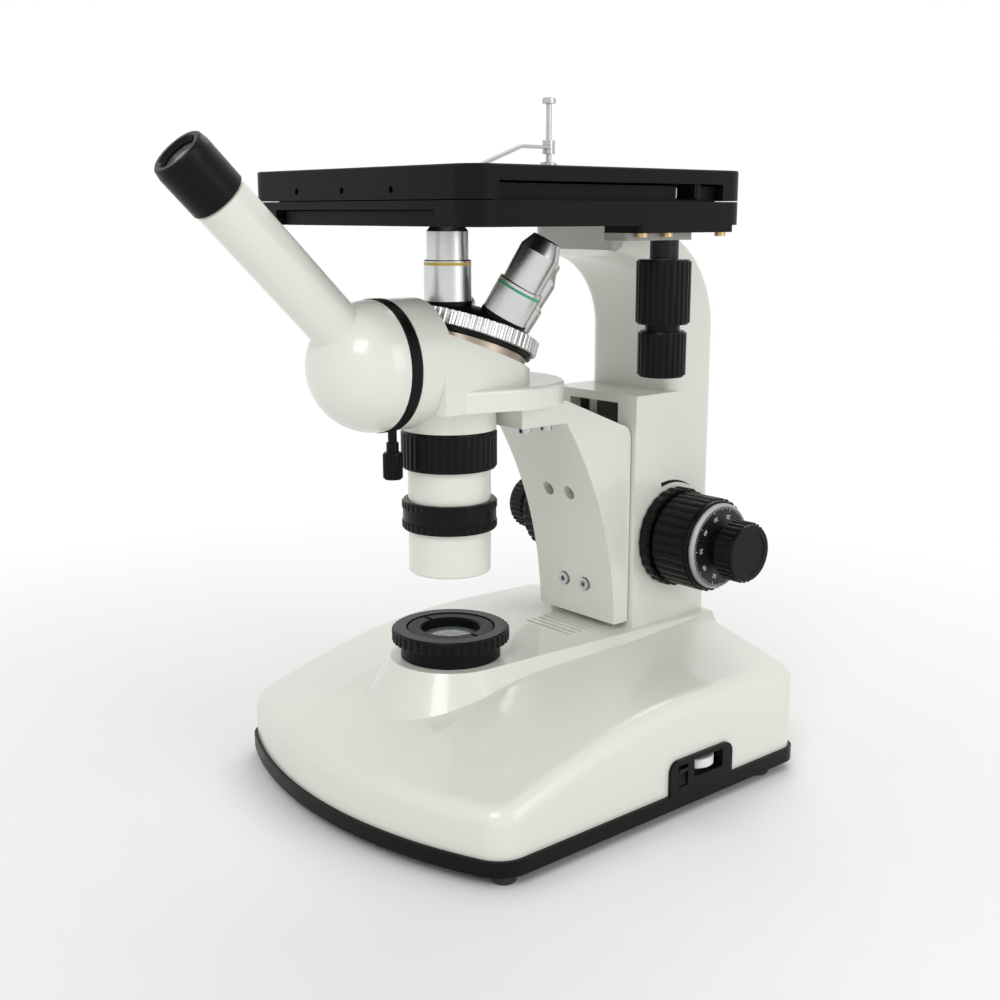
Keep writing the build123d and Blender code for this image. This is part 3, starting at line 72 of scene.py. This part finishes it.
def port_axis(degrees):
    """Direction of an objective, counted from the front of the turret round to the right."""
    a = math.radians(degrees)
    side = TURRET_FRONT * math.cos(a) + Vector((1, 0, 0)) * math.sin(a)
    return TURRET_AXIS * math.cos(TURRET_TILT) + side * math.sin(TURRET_TILT)


def place(origin, axis=(0, 0, 1), across=(1, 0, 0)):
    """Matrix that takes a piece made round +Z, in millimetres, to its place in metres."""
    z = Vector(axis).normalized()
    x = Vector(across) - z * z.dot(Vector(across))
    if x.length < 0.1:
        x = Vector((0, 1, 0)) - z * z.y
    x.normalize()
    turn = Matrix((x, z.cross(x), z)).transposed().to_4x4()
    return Matrix.Translation(Vector(origin) * MM) @ turn @ Matrix.Scale(MM, 4)


# Shader maths

class Shade:
    """A value in a material's node tree. Sums and products of it add Math nodes."""

    def __init__(self, tree, socket):
        self.tree, self.socket = tree, socket

    def math(self, operation, *others, first=None):
        node = self.tree.nodes.new("ShaderNodeMath")
        node.operation = operation
        for socket, value in zip(node.inputs, (self if first is None else first, *others)):
            feed(self.tree, socket, value)
        return Shade(self.tree, node.outputs[0])

    def __add__(self, other):
        return self.math("ADD", other)

    def __sub__(self, other):
        return self.math("SUBTRACT", other)

    def __mul__(self, other):
        return self.math("MULTIPLY", other)

    def __truediv__(self, other):
        return self.math("DIVIDE", other)

    def __rsub__(self, other):
        return self.math("SUBTRACT", self, first=other)

    __radd__ = __add__
    __rmul__ = __mul__

    def above(self, edge):
        return self.math("GREATER_THAN", edge)

    def between(self, low, high):
        return self.above(low) * (1 - self.above(high))


def feed(tree, socket, value):
    if isinstance(value, Shade):
        tree.links.new(value.socket, socket)
    elif isinstance(value, (tuple, list, Vector)) and len(socket.default_value) == 4:
        socket.default_value = (*value[:3], 1.0)
    else:
        socket.default_value = value


class Finish:
    """One material. Its nodes are made by node(), its shader's values are given by set()."""

    def __init__(self, name, **fixed):
        self.material = bpy.data.materials.new(name)
        self.material.use_nodes = True
        self.tree = self.material.node_tree
        self.tree.nodes.clear()
        self.shader = self.tree.nodes.new("ShaderNodeBsdfPrincipled")
        output = self.tree.nodes.new("ShaderNodeOutputMaterial")
        self.tree.links.new(self.shader.outputs[0], output.inputs[0])
        self.set(**fixed)

    def set(self, **values):
        for name, value in values.items():
            feed(self.tree, self.shader.inputs[name.replace("_", " ")], value)
        return self

    def node(self, kind, settings=None, output=0, **inputs):
        node = self.tree.nodes.new("ShaderNode" + kind)
        for name, value in (settings or {}).items():
            setattr(node, name, value)
        for name, value in inputs.items():
            feed(self.tree, node.inputs[name.replace("_", " ")], value)
        return Shade(self.tree, node.outputs[output])

    def coordinates(self):
        return self.node("TexCoord", output="Object")

    def noise(self, scale, detail=2.0, roughness=0.5, vector=None):
        where = vector or self.coordinates()
        return self.node("TexNoise", Vector=where, Scale=scale, Detail=detail, Roughness=roughness)

    def mix(self, factor, first, second):
        node = self.tree.nodes.new("ShaderNodeMix")
        node.data_type = "RGBA"
        feed(self.tree, node.inputs[0], factor)
        feed(self.tree, node.inputs[6], first)
        feed(self.tree, node.inputs[7], second)
        return Shade(self.tree, node.outputs[2])

    def bump(self, height, distance, strength=1.0, normal=None):
        inputs = {"Height": height, "Distance": distance, "Strength": strength}
        if normal:
            inputs["Normal"] = normal
        return self.node("Bump", **inputs)

    def vector(self, operation, *values, output=0):
        node = self.tree.nodes.new("ShaderNodeVectorMath")
        node.operation = operation
        for socket, value in zip(node.inputs, values):
            feed(self.tree, socket, value)
        return Shade(self.tree, node.outputs[output])

    def from_drive_axis(self):
        """Distance from the focus drive's axis, in millimetres."""
        flat = self.vector("MULTIPLY", self.coordinates(), (0, 1, 1))
        return self.vector("DISTANCE", flat, (0, DRIVE[1] * MM, DRIVE[2] * MM), output="Value") * (1 / MM)

    def along(self, origin, axis):
        """Distance from a point along a direction, in millimetres."""
        axis = Vector(axis).normalized()
        distance = self.vector("DOT_PRODUCT", self.coordinates(), axis, output="Value")
        return (distance - axis.dot(Vector(origin)) * MM) * (1 / MM)


WHITE = (0.775, 0.800, 0.715)
BLACK_PAINT = (0.0034, 0.0034, 0.0038)
BLACK_PLASTIC = (0.0030, 0.0030, 0.0034)
BLACK_METAL = (0.0040, 0.0038, 0.0043)
SILVER = (0.72, 0.72, 0.71)
BRASS = (0.66, 0.49, 0.24)


def enamel(name="white_enamel"):
    f = Finish(name, Coat_Weight=0.45, Coat_Roughness=0.05, Specular_IOR_Level=0.5)
    cloud = f.noise(9, 2)
    peel = f.noise(330, 1, 0.3)
    tint = f.mix(cloud, tuple(c * 0.975 for c in WHITE), tuple(min(1, c * 1.02) for c in WHITE))
    f.set(Base_Color=tint, Roughness=0.27 + 0.08 * cloud)
    return f.set(Normal=f.bump(peel, 0.00009, 0.35)).material


def black_paint(name="black_paint"):
    f = Finish(name, Specular_IOR_Level=0.13)
    dust = f.noise(90, 4, 0.6)
    f.set(Base_Color=f.mix(dust, BLACK_PAINT, tuple(c * 1.7 for c in BLACK_PAINT)))
    f.set(Roughness=0.30 + 0.14 * dust)
    return f.set(Normal=f.bump(f.noise(1500, 2), 0.00006, 0.5)).material


def moulded(name, colour=BLACK_PLASTIC, rough=0.30, shine=0.14):
    f = Finish(name, Specular_IOR_Level=shine)
    wear = f.noise(140, 3, 0.6)
    f.set(Base_Color=f.mix(wear, colour, tuple(c * 1.6 for c in colour)))
    f.set(Roughness=rough - 0.06 + 0.14 * wear)
    return f.set(Normal=f.bump(f.noise(3200, 2, 0.7), 0.00005, 0.6)).material


def anodised(name="black_anodised"):
    f = Finish(name, Specular_IOR_Level=0.11)
    cloud = f.noise(30, 3)
    f.set(Base_Color=f.mix(cloud, BLACK_METAL, tuple(c * 1.6 for c in BLACK_METAL)))
    f.set(Roughness=0.36 + 0.14 * f.noise(200, 3))
    return f.set(Normal=f.bump(f.noise(5200, 2, 0.8), 0.00003, 0.5)).material


def turned_metal(name, colour, origin, axis, rough=0.24, band=None):
    """Metal turned on a lathe about an axis. A painted band is (low, high, colour), along the axis."""
    f = Finish(name)
    t = f.along(origin, axis)
    lines = f.node("TexNoise", {"noise_dimensions": "1D"}, W=t, Scale=5.5, Detail=3.0, Roughness=0.7)
    smear = f.noise(70, 3)
    tint = f.mix(smear, colour, tuple(c * 0.86 for c in colour))
    metallic = 1.0
    if band:
        low, high, paint = band
        mask = t.between(low, high)
        tint = f.mix(mask, tint, paint)
        metallic = 1 - mask
    f.set(Base_Color=tint, Roughness=rough - 0.06 + 0.12 * lines + 0.08 * smear, Metallic=metallic)
    return f.set(Normal=f.bump(lines, 0.00004, 0.5)).material


def plain_metal(name, colour, rough=0.3, scale=300):
    f = Finish(name, Metallic=1.0)
    cloud = f.noise(scale, 3, 0.6)
    f.set(Base_Color=f.mix(cloud, colour, tuple(c * 0.82 for c in colour)))
    f.set(Roughness=rough - 0.05 + 0.12 * cloud)
    return f.set(Normal=f.bump(f.noise(scale * 6, 2), 0.00003, 0.5)).material


def lens_glass(name, tint):
    f = Finish(name, Transmission_Weight=0.85, IOR=1.52)
    film = f.noise(40, 2)
    f.set(Base_Color=f.mix(film, tint, tuple(min(1, c * 1.1) for c in tint)), Roughness=0.015 + 0.03 * film)
    return f.set(Normal=f.bump(f.noise(25, 1), 0.00002, 0.2)).material


def soft_rubber(name="foot_rubber"):
    f = Finish(name)
    dust = f.noise(260, 4, 0.6)
    f.set(Base_Color=f.mix(dust, (0.014, 0.014, 0.014), (0.035, 0.034, 0.032)), Roughness=0.62 + 0.2 * dust)
    return f.set(Normal=f.bump(f.noise(1800, 3), 0.0001, 0.6)).material


def dial_finish():
    """Black face with a bright turned rim."""
    f = Finish("dial_black", Specular_IOR_Level=0.3)
    r = f.from_drive_axis()
    rim = r.above(22.95)
    rings = f.node("TexNoise", {"noise_dimensions": "1D"}, W=r, Scale=6.0, Detail=2.0)
    f.set(Base_Color=f.mix(rim, (0.012, 0.012, 0.013), (0.42, 0.42, 0.43)), Metallic=rim)
    f.set(Roughness=0.30 + 0.10 * rings)
    return f.set(Normal=f.bump(rings, 0.00003, 0.5)).material


def bearing_finish():
    """Grey plate whose bearing neck is blackened."""
    f = Finish("bearing_grey", Specular_IOR_Level=0.3)
    neck = 1 - f.along((0, 0, 0), (0, 0, 1)).above(BEARING_Z)
    cloud = f.noise(90, 3)
    plate = f.mix(cloud, (0.34, 0.34, 0.33), (0.42, 0.42, 0.40))
    f.set(Base_Color=f.mix(neck, plate, BLACK_METAL), Roughness=0.4 + 0.1 * cloud)
    return f.set(Normal=f.bump(f.noise(900, 2), 0.00004, 0.5)).material


def dress(node, material):
    for socket in cad[node].material_slots:
        socket.material = material


# Meshes

def mesh_piece(name, mesh, body, slot, *replaced):
    """Put a finished mesh in the scene and let it ride on its body."""
    piece = bpy.data.objects.new(name, mesh)
    bpy.context.scene.collection.objects.link(piece)
    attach(piece, body)
    if replaced:
        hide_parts(*replaced)


def shade_by_angle(mesh, degrees=32.0):
    """Smooth faces with sharp edges where they meet at more than the angle."""
    shape = bmesh.new()
    shape.from_mesh(mesh)
    limit = math.radians(degrees)
    for face in shape.faces:
        face.smooth = True
    for edge in shape.edges:
        edge.smooth = len(edge.link_faces) == 2 and edge.calc_face_angle(0) < limit
    shape.to_mesh(mesh)
    shape.free()


def turned_mesh(name, profile, steps=96):
    """Turn a closed outline of (radius, height) points about Z, in millimetres."""
    shape = bmesh.new()
    rings = []
    for r, z in profile:
        if r < 1e-6:
            rings.append([shape.verts.new((0, 0, z))])
            continue
        angles = [2 * math.pi * i / steps for i in range(steps)]
        rings.append([shape.verts.new((r * math.cos(a), r * math.sin(a), z)) for a in angles])
    for first, second in zip(rings, rings[1:] + rings[:1]):
        for i in range(steps):
            j = (i + 1) % steps
            corners = [first[i % len(first)], first[j % len(first)], second[j % len(second)], second[i % len(second)]]
            unique = list(dict.fromkeys(corners))
            if len(unique) > 2:
                shape.faces.new(unique)
    bmesh.ops.recalc_face_normals(shape, faces=shape.faces)
    mesh = bpy.data.meshes.new(name)
    shape.to_mesh(mesh)
    shape.free()
    return mesh


def ring_tree(name, sizes, make_bar):
    """Geometry Nodes that set copies of one bar round a circle about Z, and give them a finish."""
    tree = bpy.data.node_groups.new(name, "GeometryNodeTree")
    sockets = [("Count", "Int"), ("Radius", "Float"), *((size, "Float") for size in sizes), ("Finish", "Material")]
    for label, kind in sockets:
        tree.interface.new_socket(label, in_out="INPUT", socket_type="NodeSocket" + kind)
    tree.interface.new_socket("Geometry", in_out="OUTPUT", socket_type="NodeSocketGeometry")

    def fill(socket, value):
        if isinstance(value, bpy.types.NodeSocket):
            tree.links.new(value, socket)
        else:
            socket.default_value = value

    def add(kind, **values):
        node = tree.nodes.new(kind)
        for label, value in values.items():
            fill(node.inputs[label.replace("_", " ")], value)
        return node.outputs[0]

    def number(operation, first, second):
        node = tree.nodes.new("ShaderNodeMath")
        node.operation = operation
        fill(node.inputs[0], first)
        fill(node.inputs[1], second)
        return node.outputs[0]

    given = tree.nodes.new("NodeGroupInput").outputs
    bar, height, scale = make_bar(add, number, given)
    circle = add("GeometryNodeMeshCircle", Vertices=given["Count"], Radius=given["Radius"])
    ring = add("GeometryNodeTransform", Geometry=circle, Translation=add("ShaderNodeCombineXYZ", Z=height))
    index = tree.nodes.new("GeometryNodeInputIndex").outputs[0]
    turn = number("MULTIPLY", number("DIVIDE", index, given["Count"]), 2 * math.pi)
    copies = add("GeometryNodeInstanceOnPoints", Points=ring, Instance=bar,
                 Rotation=add("ShaderNodeCombineXYZ", Z=turn), Scale=scale)
    real = add("GeometryNodeRealizeInstances", Geometry=copies)
    painted = add("GeometryNodeSetMaterial", Geometry=real, Material=given["Finish"])
    tree.links.new(painted, tree.nodes.new("NodeGroupOutput").inputs[0])
    return tree


def rib_bar(add, number, given):
    """A round bar along the drum, flattened towards the axis."""
    length = number("SUBTRACT", given["High"], given["Low"])
    middle = number("MULTIPLY", number("ADD", given["High"], given["Low"]), 0.5)
    bar = add("GeometryNodeMeshCylinder", Vertices=12, Side_Segments=1, Radius=given["Bar Radius"], Depth=length)
    return bar, middle, add("ShaderNodeCombineXYZ", X=given["Flatness"], Y=1.0, Z=1.0)


def tick_bar(add, number, given):
    """A thin mark that points to the middle of the dial."""
    size = add("ShaderNodeCombineXYZ", X=given["Length"], Y=given["Width"], Z=given["Height"])
    return add("GeometryNodeMeshCube", Size=size), given["Lift"], (1.0, 1.0, 1.0)


RIBS = ring_tree("ribs_round_a_drum", ("Bar Radius", "Flatness", "Low", "High"), rib_bar)
TICKS = ring_tree("ticks_round_a_dial", ("Length", "Width", "Height", "Lift"), tick_bar)


def mesh_of(data, tree=None, values=None):
    """A plain mesh of a curve, or of what a tree makes from its input values."""
    carrier = bpy.data.objects.new("carrier", data)
    bpy.context.scene.collection.objects.link(carrier)
    if tree:
        modifier = carrier.modifiers.new(tree.name, "NODES")
        modifier.node_group = tree
        for item in tree.interface.items_tree:
            if item.in_out == "INPUT":
                modifier[item.identifier] = values[item.name]
    bpy.context.view_layer.update()
    mesh = bpy.data.meshes.new_from_object(carrier.evaluated_get(bpy.context.evaluated_depsgraph_get()))
    bpy.data.objects.remove(carrier)
    return mesh


def rib_mesh(count, radius, bar_radius, flatness, low, high, material):
    """The ribs of one drum, in millimetres."""
    return mesh_of(bpy.data.meshes.new("ribs"), RIBS, {
        "Count": count, "Radius": radius, "Bar Radius": bar_radius, "Flatness": flatness,
        "Low": low, "High": high, "Finish": material})


def tick_mesh(count, inner, outer, material):
    """Marks round the dial between two radii, in millimetres."""
    return mesh_of(bpy.data.meshes.new("ticks"), TICKS, {
        "Count": count, "Radius": (inner + outer) / 2, "Length": outer - inner, "Width": TICK_WIDTH,
        "Height": TICK_HEIGHT, "Lift": MARK_LIFT, "Finish": material})


def join_meshes(name, meshes, matrix, material):
    """One mesh from several, moved to its place."""
    whole = bmesh.new()
    for mesh in meshes:
        whole.from_mesh(mesh)
    whole.transform(matrix)
    mesh = bpy.data.meshes.new(name)
    whole.to_mesh(mesh)
    whole.free()
    for part in meshes:
        bpy.data.meshes.remove(part)
    mesh.materials.clear()
    mesh.materials.append(material)
    for face in mesh.polygons:
        face.material_index = 0
    shade_by_angle(mesh)
    return mesh


def grip(name, profile, ribs, matrix, material):
    """A turned body with ribs: each row of ribs is (count, radius, bar radius, flatness, low, high)."""
    meshes = [turned_mesh(name, profile)] + [rib_mesh(*row, material) for row in ribs]
    return join_meshes(name, meshes, matrix, material)


# Materials on the CAD nodes

white = enamel()
paint_black = black_paint()
plastic = moulded("black_plastic")
metal_black = anodised()
steel = plain_metal("machined_steel", (0.56, 0.56, 0.57))
brass = plain_metal("turned_brass", BRASS)
for node in ("base_shell", "column_casting", "focus_bracket", "head_casting", "illuminator_tube", "ball_housing"):
    dress(node, white)
for node in ("bottom_plate", "turret_dome"):
    dress(node, paint_black)
for node in ("side_panel", "power_inlet", "power_rocker", "eyepiece"):
    dress(node, plastic)
for node in ("stage_base", "stage_top", "y_plate", "carrier_plate", "stage_insert", "swivel_ring", "collector_mount",
             "x_rack", "fine_slide"):
    dress(node, metal_black)
for node in ("base_screws", "column_screws", "head_screws", "guide_rails", "coarse_slide", "pinion_shaft", "y_pinion",
             "x_pinion", "clip_post", "clip_collar", "clip_arm"):
    dress(node, steel)
for node in ("shaft_bushes", "carrier_screws"):
    dress(node, brass)
dress("turret_base", turned_metal("turret_base_metal", (0.40, 0.34, 0.27), (0, 0, APEX_Z), TURRET_AXIS, 0.3))
dress("fine_dial", dial_finish())
dress("bearing_plate", bearing_finish())
# Pale grey on the brightness wheel is a painted highlight, standing in for the bright crescent on its rim
dress("brightness_wheel", moulded("painted_highlight_moulding", (0.60, 0.62, 0.60), 0.35, 0.5))
dress("supply_board", moulded("board_green", (0.05, 0.12, 0.06), 0.5))
dress("rubber_feet", soft_rubber())
dress("base_mirror", plain_metal("mirror_silver", (0.9, 0.9, 0.9), 0.06))
glass = lens_glass("coated_glass", (0.80, 0.87, 0.92))
for node in ("lamp", "collector_lens", "head_optics", "head_prism", "eye_lens"):
    dress(node, glass)

YELLOW = (0.80, 0.60, 0.10)
GREEN = (0.05, 0.42, 0.25)
PALE = (0.80, 0.80, 0.78)
RED = (0.60, 0.05, 0.04)
for node, angle, low, high, ring in (
        ("objective_10x", 0, 18.0, 19.6, YELLOW), ("objective_40x", 90, 14.6, 16.0, GREEN),
        ("objective_100x", 180, 13.0, 14.4, PALE), ("objective_4x", 270, 3.5, 4.8, RED)):
    axis = port_axis(angle)
    shoulder = Vector((0, 0, APEX_Z)) + axis * SHOULDER
    dress(node, turned_metal(node + "_metal", SILVER, shoulder, axis, 0.26, (low, high, ring)))


# Ribbed grips

def knob_place(side):
    return place(DRIVE, (side, 0, 0), (0, 1, 0))


def pair_grip(name, profile, ribs, material):
    halves = [grip(name, profile, ribs, knob_place(side), material) for side in (1, -1)]
    return join_meshes(name, halves, Matrix.Identity(4), material)


coarse = pair_grip("coarse_knob_grips", [
    (4.7, 44), (22, 44), (22, 42), (25.2, 42), (26.1, 43), (26.1, 66.4), (25.4, 68), (13, 68), (13, 64.4),
    (4.7, 64.4)],
    [(32, 26.0, 2.1, 0.44, 43.6, 66.2)], plastic)
mesh_piece("coarse_knob_grips", coarse, "coarse_drive", "black_plastic", "coarse_knobs")

tension = grip("tension_ring_grip", [
    (8.3, 34.5), (28, 34.5), (28.3, 35.3), (28.3, 40.7), (28, 41.5), (8.3, 41.5)],
    [(26, 28.15, 2.4, 0.34, 35.2, 40.8)], knob_place(1), plastic)
mesh_piece("tension_ring_grip", tension, "tension_ring", "black_plastic", "tension_ring")


def fine_grip(side, start):
    """A fine knob whose stem starts at a distance along the drive axis."""
    return grip("fine_knob_grips", [
        (2.7, start), (11.5, start), (11.5, 79), (15.6, 79), (16.4, 80), (16.4, 90.6), (15.8, 92), (13, 92),
        (12, 91.2), (0, 91.2), (0, 89), (2.7, 89)], [(30, 16.3, 0.9, 1.0, 80.4, 90.4)], knob_place(side), plastic)


right, left = fine_grip(1, DIAL_FACE), fine_grip(-1, 68.3)
fine = join_meshes("fine_knob_grips", [right, left], Matrix.Identity(4), plastic)
mesh_piece("fine_knob_grips", fine, "fine_drive", "black_plastic", "fine_knobs")

upright = place((0, 0, 0))
aperture = grip("aperture_ring_grip", [
    (22.3, 179.2), (24.6, 179.2), (24.9, 180), (24.9, 198.6), (24.6, 199.4), (22.3, 199.4)],
    [(40, 24.75, 1.5, 0.45, 180.2, 198.2)], upright, plastic)
mesh_piece("aperture_ring_grip", aperture, "aperture_ring", "black_plastic", "aperture_ring")
field = grip("field_ring_grip", [
    (22.3, 146.5), (24.6, 146.5), (24.9, 147.3), (24.9, 161.2), (24.6, 162), (22.3, 162)],
    [(40, 24.75, 1.5, 0.45, 147.4, 150.8), (40, 24.75, 1.5, 0.45, 157.8, 161.2)], upright, plastic)
mesh_piece("field_ring_grip", field, "field_ring", "black_plastic", "field_ring")
collector = grip("collector_ring_grip", [
    (21.8, 83.6), (30.8, 83.6), (31.3, 84.4), (31.3, 89.8), (30.4, 91), (24.1, 91), (24.1, 88), (21.8, 88)],
    [(44, 31.1, 1.7, 0.5, 84.2, 90.2)], upright, plastic)
mesh_piece("collector_ring_grip", collector, "collector_ring", "black_plastic", "collector_ring")

knob_axis = place((*STAGE_KNOB, 0))
y_grip = grip("y_knob_grip", [(3.7, 254.5), (13, 254.5), (13.4, 255.5), (13.4, 286), (13, 287), (3.7, 287)],
              [(26, 13.25, 1.25, 0.6, 255.4, 286.1)], knob_axis, plastic)
mesh_piece("y_knob_grip", y_grip, "y_knob", "black_plastic", "y_knob")
x_grip = grip("x_knob_grip", [
    (0, 227.5), (11.2, 227.5), (11.9, 228.7), (11.9, 250), (11.4, 251), (9, 251), (9, 254.2), (2.1, 254.2),
    (2.1, 231.5), (0, 231.5)], [(24, 11.8, 1.2, 0.6, 228.6, 250.1)], knob_axis, plastic)
mesh_piece("x_knob_grip", x_grip, "x_knob", "black_plastic", "x_knob")

lock = grip("lock_screw_grip", [
    (0, 177), (4.3, 177), (4.6, 177.6), (4.6, 190.4), (4.3, 191), (3.2, 191), (3.2, 196), (2.3, 196), (2.3, 211.2),
    (0, 211.2)], [(20, 4.6, 0.5, 1.0, 177.8, 190.2)], place((0, -36.8, 0)), plastic)
mesh_piece("lock_screw_grip", lock, "lock_screw", "black_plastic", "lock_screw")

turret_place = place((0, 0, APEX_Z), TURRET_AXIS)
ring_metal = turned_metal("turret_ring_chrome", (0.66, 0.66, 0.65), (0, 0, APEX_Z), TURRET_AXIS, 0.22)
turret_ring = grip("turret_ring_knurl", [
    (33.1, 41.5), (34.2, 41.5), (34.9, 42.1), (34.9, 48.9), (34.2, 49.5), (33.1, 49.5)],
    [(60, 34.6, 1.35, 0.6, 41.9, 49.1)], turret_place, ring_metal)
mesh_piece("turret_ring_knurl", turret_ring, "turret", "chrome", "turret_ring")


# Marks on the dial and the column

def text_mesh(words, size):
    """Plain figures as a thin mesh, in millimetres, centred on the origin."""
    curve = bpy.data.curves.new("figures", "FONT")
    curve.body, curve.size, curve.extrude = words, size, MARK_DEPTH
    curve.align_x, curve.align_y = "CENTER", "CENTER"
    return mesh_of(curve)


def dial_marks():
    """A hundred ticks, every fifth and every tenth longer, and a figure at every tenth."""
    paint = moulded("mark_white", (0.74, 0.74, 0.74), 0.4, 0.4)
    rows = ((100, 21.7, 22.6), (20, 21.2, 21.7), (10, 20.4, 21.2))
    meshes = [tick_mesh(count, inner, outer, paint) for count, inner, outer in rows]
    for i in range(10):
        figure = text_mesh(str(10 * i), FIGURE_SIZE)
        turn = Matrix.Rotation(math.radians(36 * i), 4, "Z")
        upright_figure = Matrix.Rotation(math.radians(90), 4, "Z")
        figure.transform(turn @ Matrix.Translation((FIGURE_RADIUS, 0, MARK_DEPTH)) @ upright_figure)
        meshes.append(figure)
    face = knob_place(1) @ Matrix.Translation((0, 0, DIAL_FACE))
    mesh_piece("dial_marks", join_meshes("dial_marks", meshes, face, paint), "fine_drive", "white_enamel")


def tension_arc():
    """Tapered arc on the column over the tension ring."""
    paint = moulded("mark_black", BLACK_PAINT, 0.35)
    shape = bmesh.new()
    rows = []
    for i in range(ARC_STEPS + 1):
        along = i / ARC_STEPS
        a = math.radians(62 + 46 * along)
        for r in (ARC_RADIUS, ARC_RADIUS + 0.2 + 2.4 * along):
            for x in (COLUMN_SIDE - 0.05, COLUMN_SIDE + 0.06):
                rows.append(shape.verts.new((x, DRIVE[1] + r * math.cos(a), DRIVE[2] + r * math.sin(a))))
    for i in range(ARC_STEPS):
        near, far = rows[4 * i:4 * i + 4], rows[4 * i + 4:4 * i + 8]
        for j, k in ((0, 1), (1, 3), (3, 2), (2, 0)):
            shape.faces.new((near[j], near[k], far[k], far[j]))
    shape.faces.new((rows[0], rows[2], rows[3], rows[1]))
    shape.faces.new((rows[-4], rows[-3], rows[-1], rows[-2]))
    bmesh.ops.recalc_face_normals(shape, faces=shape.faces)
    mesh = bpy.data.meshes.new("tension_arc")
    shape.to_mesh(mesh)
    shape.free()
    arc = join_meshes("tension_arc", [mesh], Matrix.Scale(MM, 4), paint)
    mesh_piece("tension_arc", arc, "stand", "black_enamel")


dial_marks()
tension_arc()


# Camera, light and floor: past the fade the floor is as white as the backdrop

FADE_START = 0.20
FADE_SLOPE = 2.2

camera_data = bpy.data.cameras.new("camera")
camera_data.sensor_width = 36.0
camera_data.lens = 47.38
camera = bpy.data.objects.new("camera", camera_data)
camera.location = (0.5358, -0.4270, 0.3100)
camera.rotation_euler = (math.radians(77.7), 0, math.radians(49.2))
bpy.context.scene.collection.objects.link(camera)
bpy.context.scene.camera = camera

floor_finish = Finish("pale_floor", Roughness=0.8)
speck = floor_finish.noise(30, 2)
floor_finish.set(Base_Color=floor_finish.mix(speck, (0.93, 0.93, 0.93), (0.95, 0.95, 0.95)))
surface = floor_finish.tree
rays = surface.nodes.new("ShaderNodeLightPath")
seen_ray = Shade(surface, rays.outputs["Is Camera Ray"]) + Shade(surface, rays.outputs["Is Glossy Ray"])
reach = floor_finish.vector("LENGTH", floor_finish.coordinates(), output="Value")
fade = ((reach - FADE_START) * FADE_SLOPE).math("MAXIMUM", 0.0).math("MINIMUM", 1.0)
backdrop = surface.nodes.new("ShaderNodeEmission")
blend = surface.nodes.new("ShaderNodeMixShader")
feed(surface, blend.inputs[0], (seen_ray * fade).math("MINIMUM", 1.0))
surface.links.new(floor_finish.shader.outputs[0], blend.inputs[1])
surface.links.new(backdrop.outputs[0], blend.inputs[2])
surface.links.new(blend.outputs[0], surface.nodes["Material Output"].inputs[0])
bpy.ops.mesh.primitive_plane_add(size=30, location=(0, 0, 0))
floor = bpy.context.object
floor.name = "floor"
floor.data.materials.append(floor_finish.material)


def soft_light(name, location, size, power, target=(0.0, 0.03, 0.18)):
    data = bpy.data.lights.new(name, "AREA")
    data.shape = "RECTANGLE"
    data.size, data.size_y = size
    data.energy = power
    lamp = bpy.data.objects.new(name, data)
    lamp.location = location
    lamp.rotation_euler = (Vector(target) - Vector(location)).to_track_quat("-Z", "Y").to_euler()
    bpy.context.scene.collection.objects.link(lamp)


soft_light("key", (0.75, -1.25, 1.45), (0.7, 0.7), 9.5)
soft_light("right_fill", (1.6, 0.35, 0.7), (0.6, 1.1), 5)
soft_light("back_top", (-0.7, 1.1, 1.6), (1.2, 0.8), 8)

world = bpy.data.worlds.new("studio")
bpy.context.scene.world = world
world.use_nodes = True
sky = world.node_tree
sky.nodes.clear()
path = sky.nodes.new("ShaderNodeLightPath")


def backdrop_light(strength):
    node = sky.nodes.new("ShaderNodeBackground")
    node.inputs["Color"].default_value = (1, 1, 1, 1)
    node.inputs["Strength"].default_value = strength
    return node


room, seen = backdrop_light(0.60), backdrop_light(1.0)
choose = sky.nodes.new("ShaderNodeMixShader")
end = sky.nodes.new("ShaderNodeOutputWorld")
ray = Shade(sky, path.outputs["Is Camera Ray"]) + Shade(sky, path.outputs["Is Glossy Ray"])
feed(sky, choose.inputs[0], (ray + Shade(sky, path.outputs["Is Transmission Ray"])).math("MINIMUM", 1.0))
sky.links.new(room.outputs[0], choose.inputs[1])
sky.links.new(seen.outputs[0], choose.inputs[2])
sky.links.new(choose.outputs[0], end.inputs[0])

bpy.context.scene.view_settings.view_transform = "Standard"
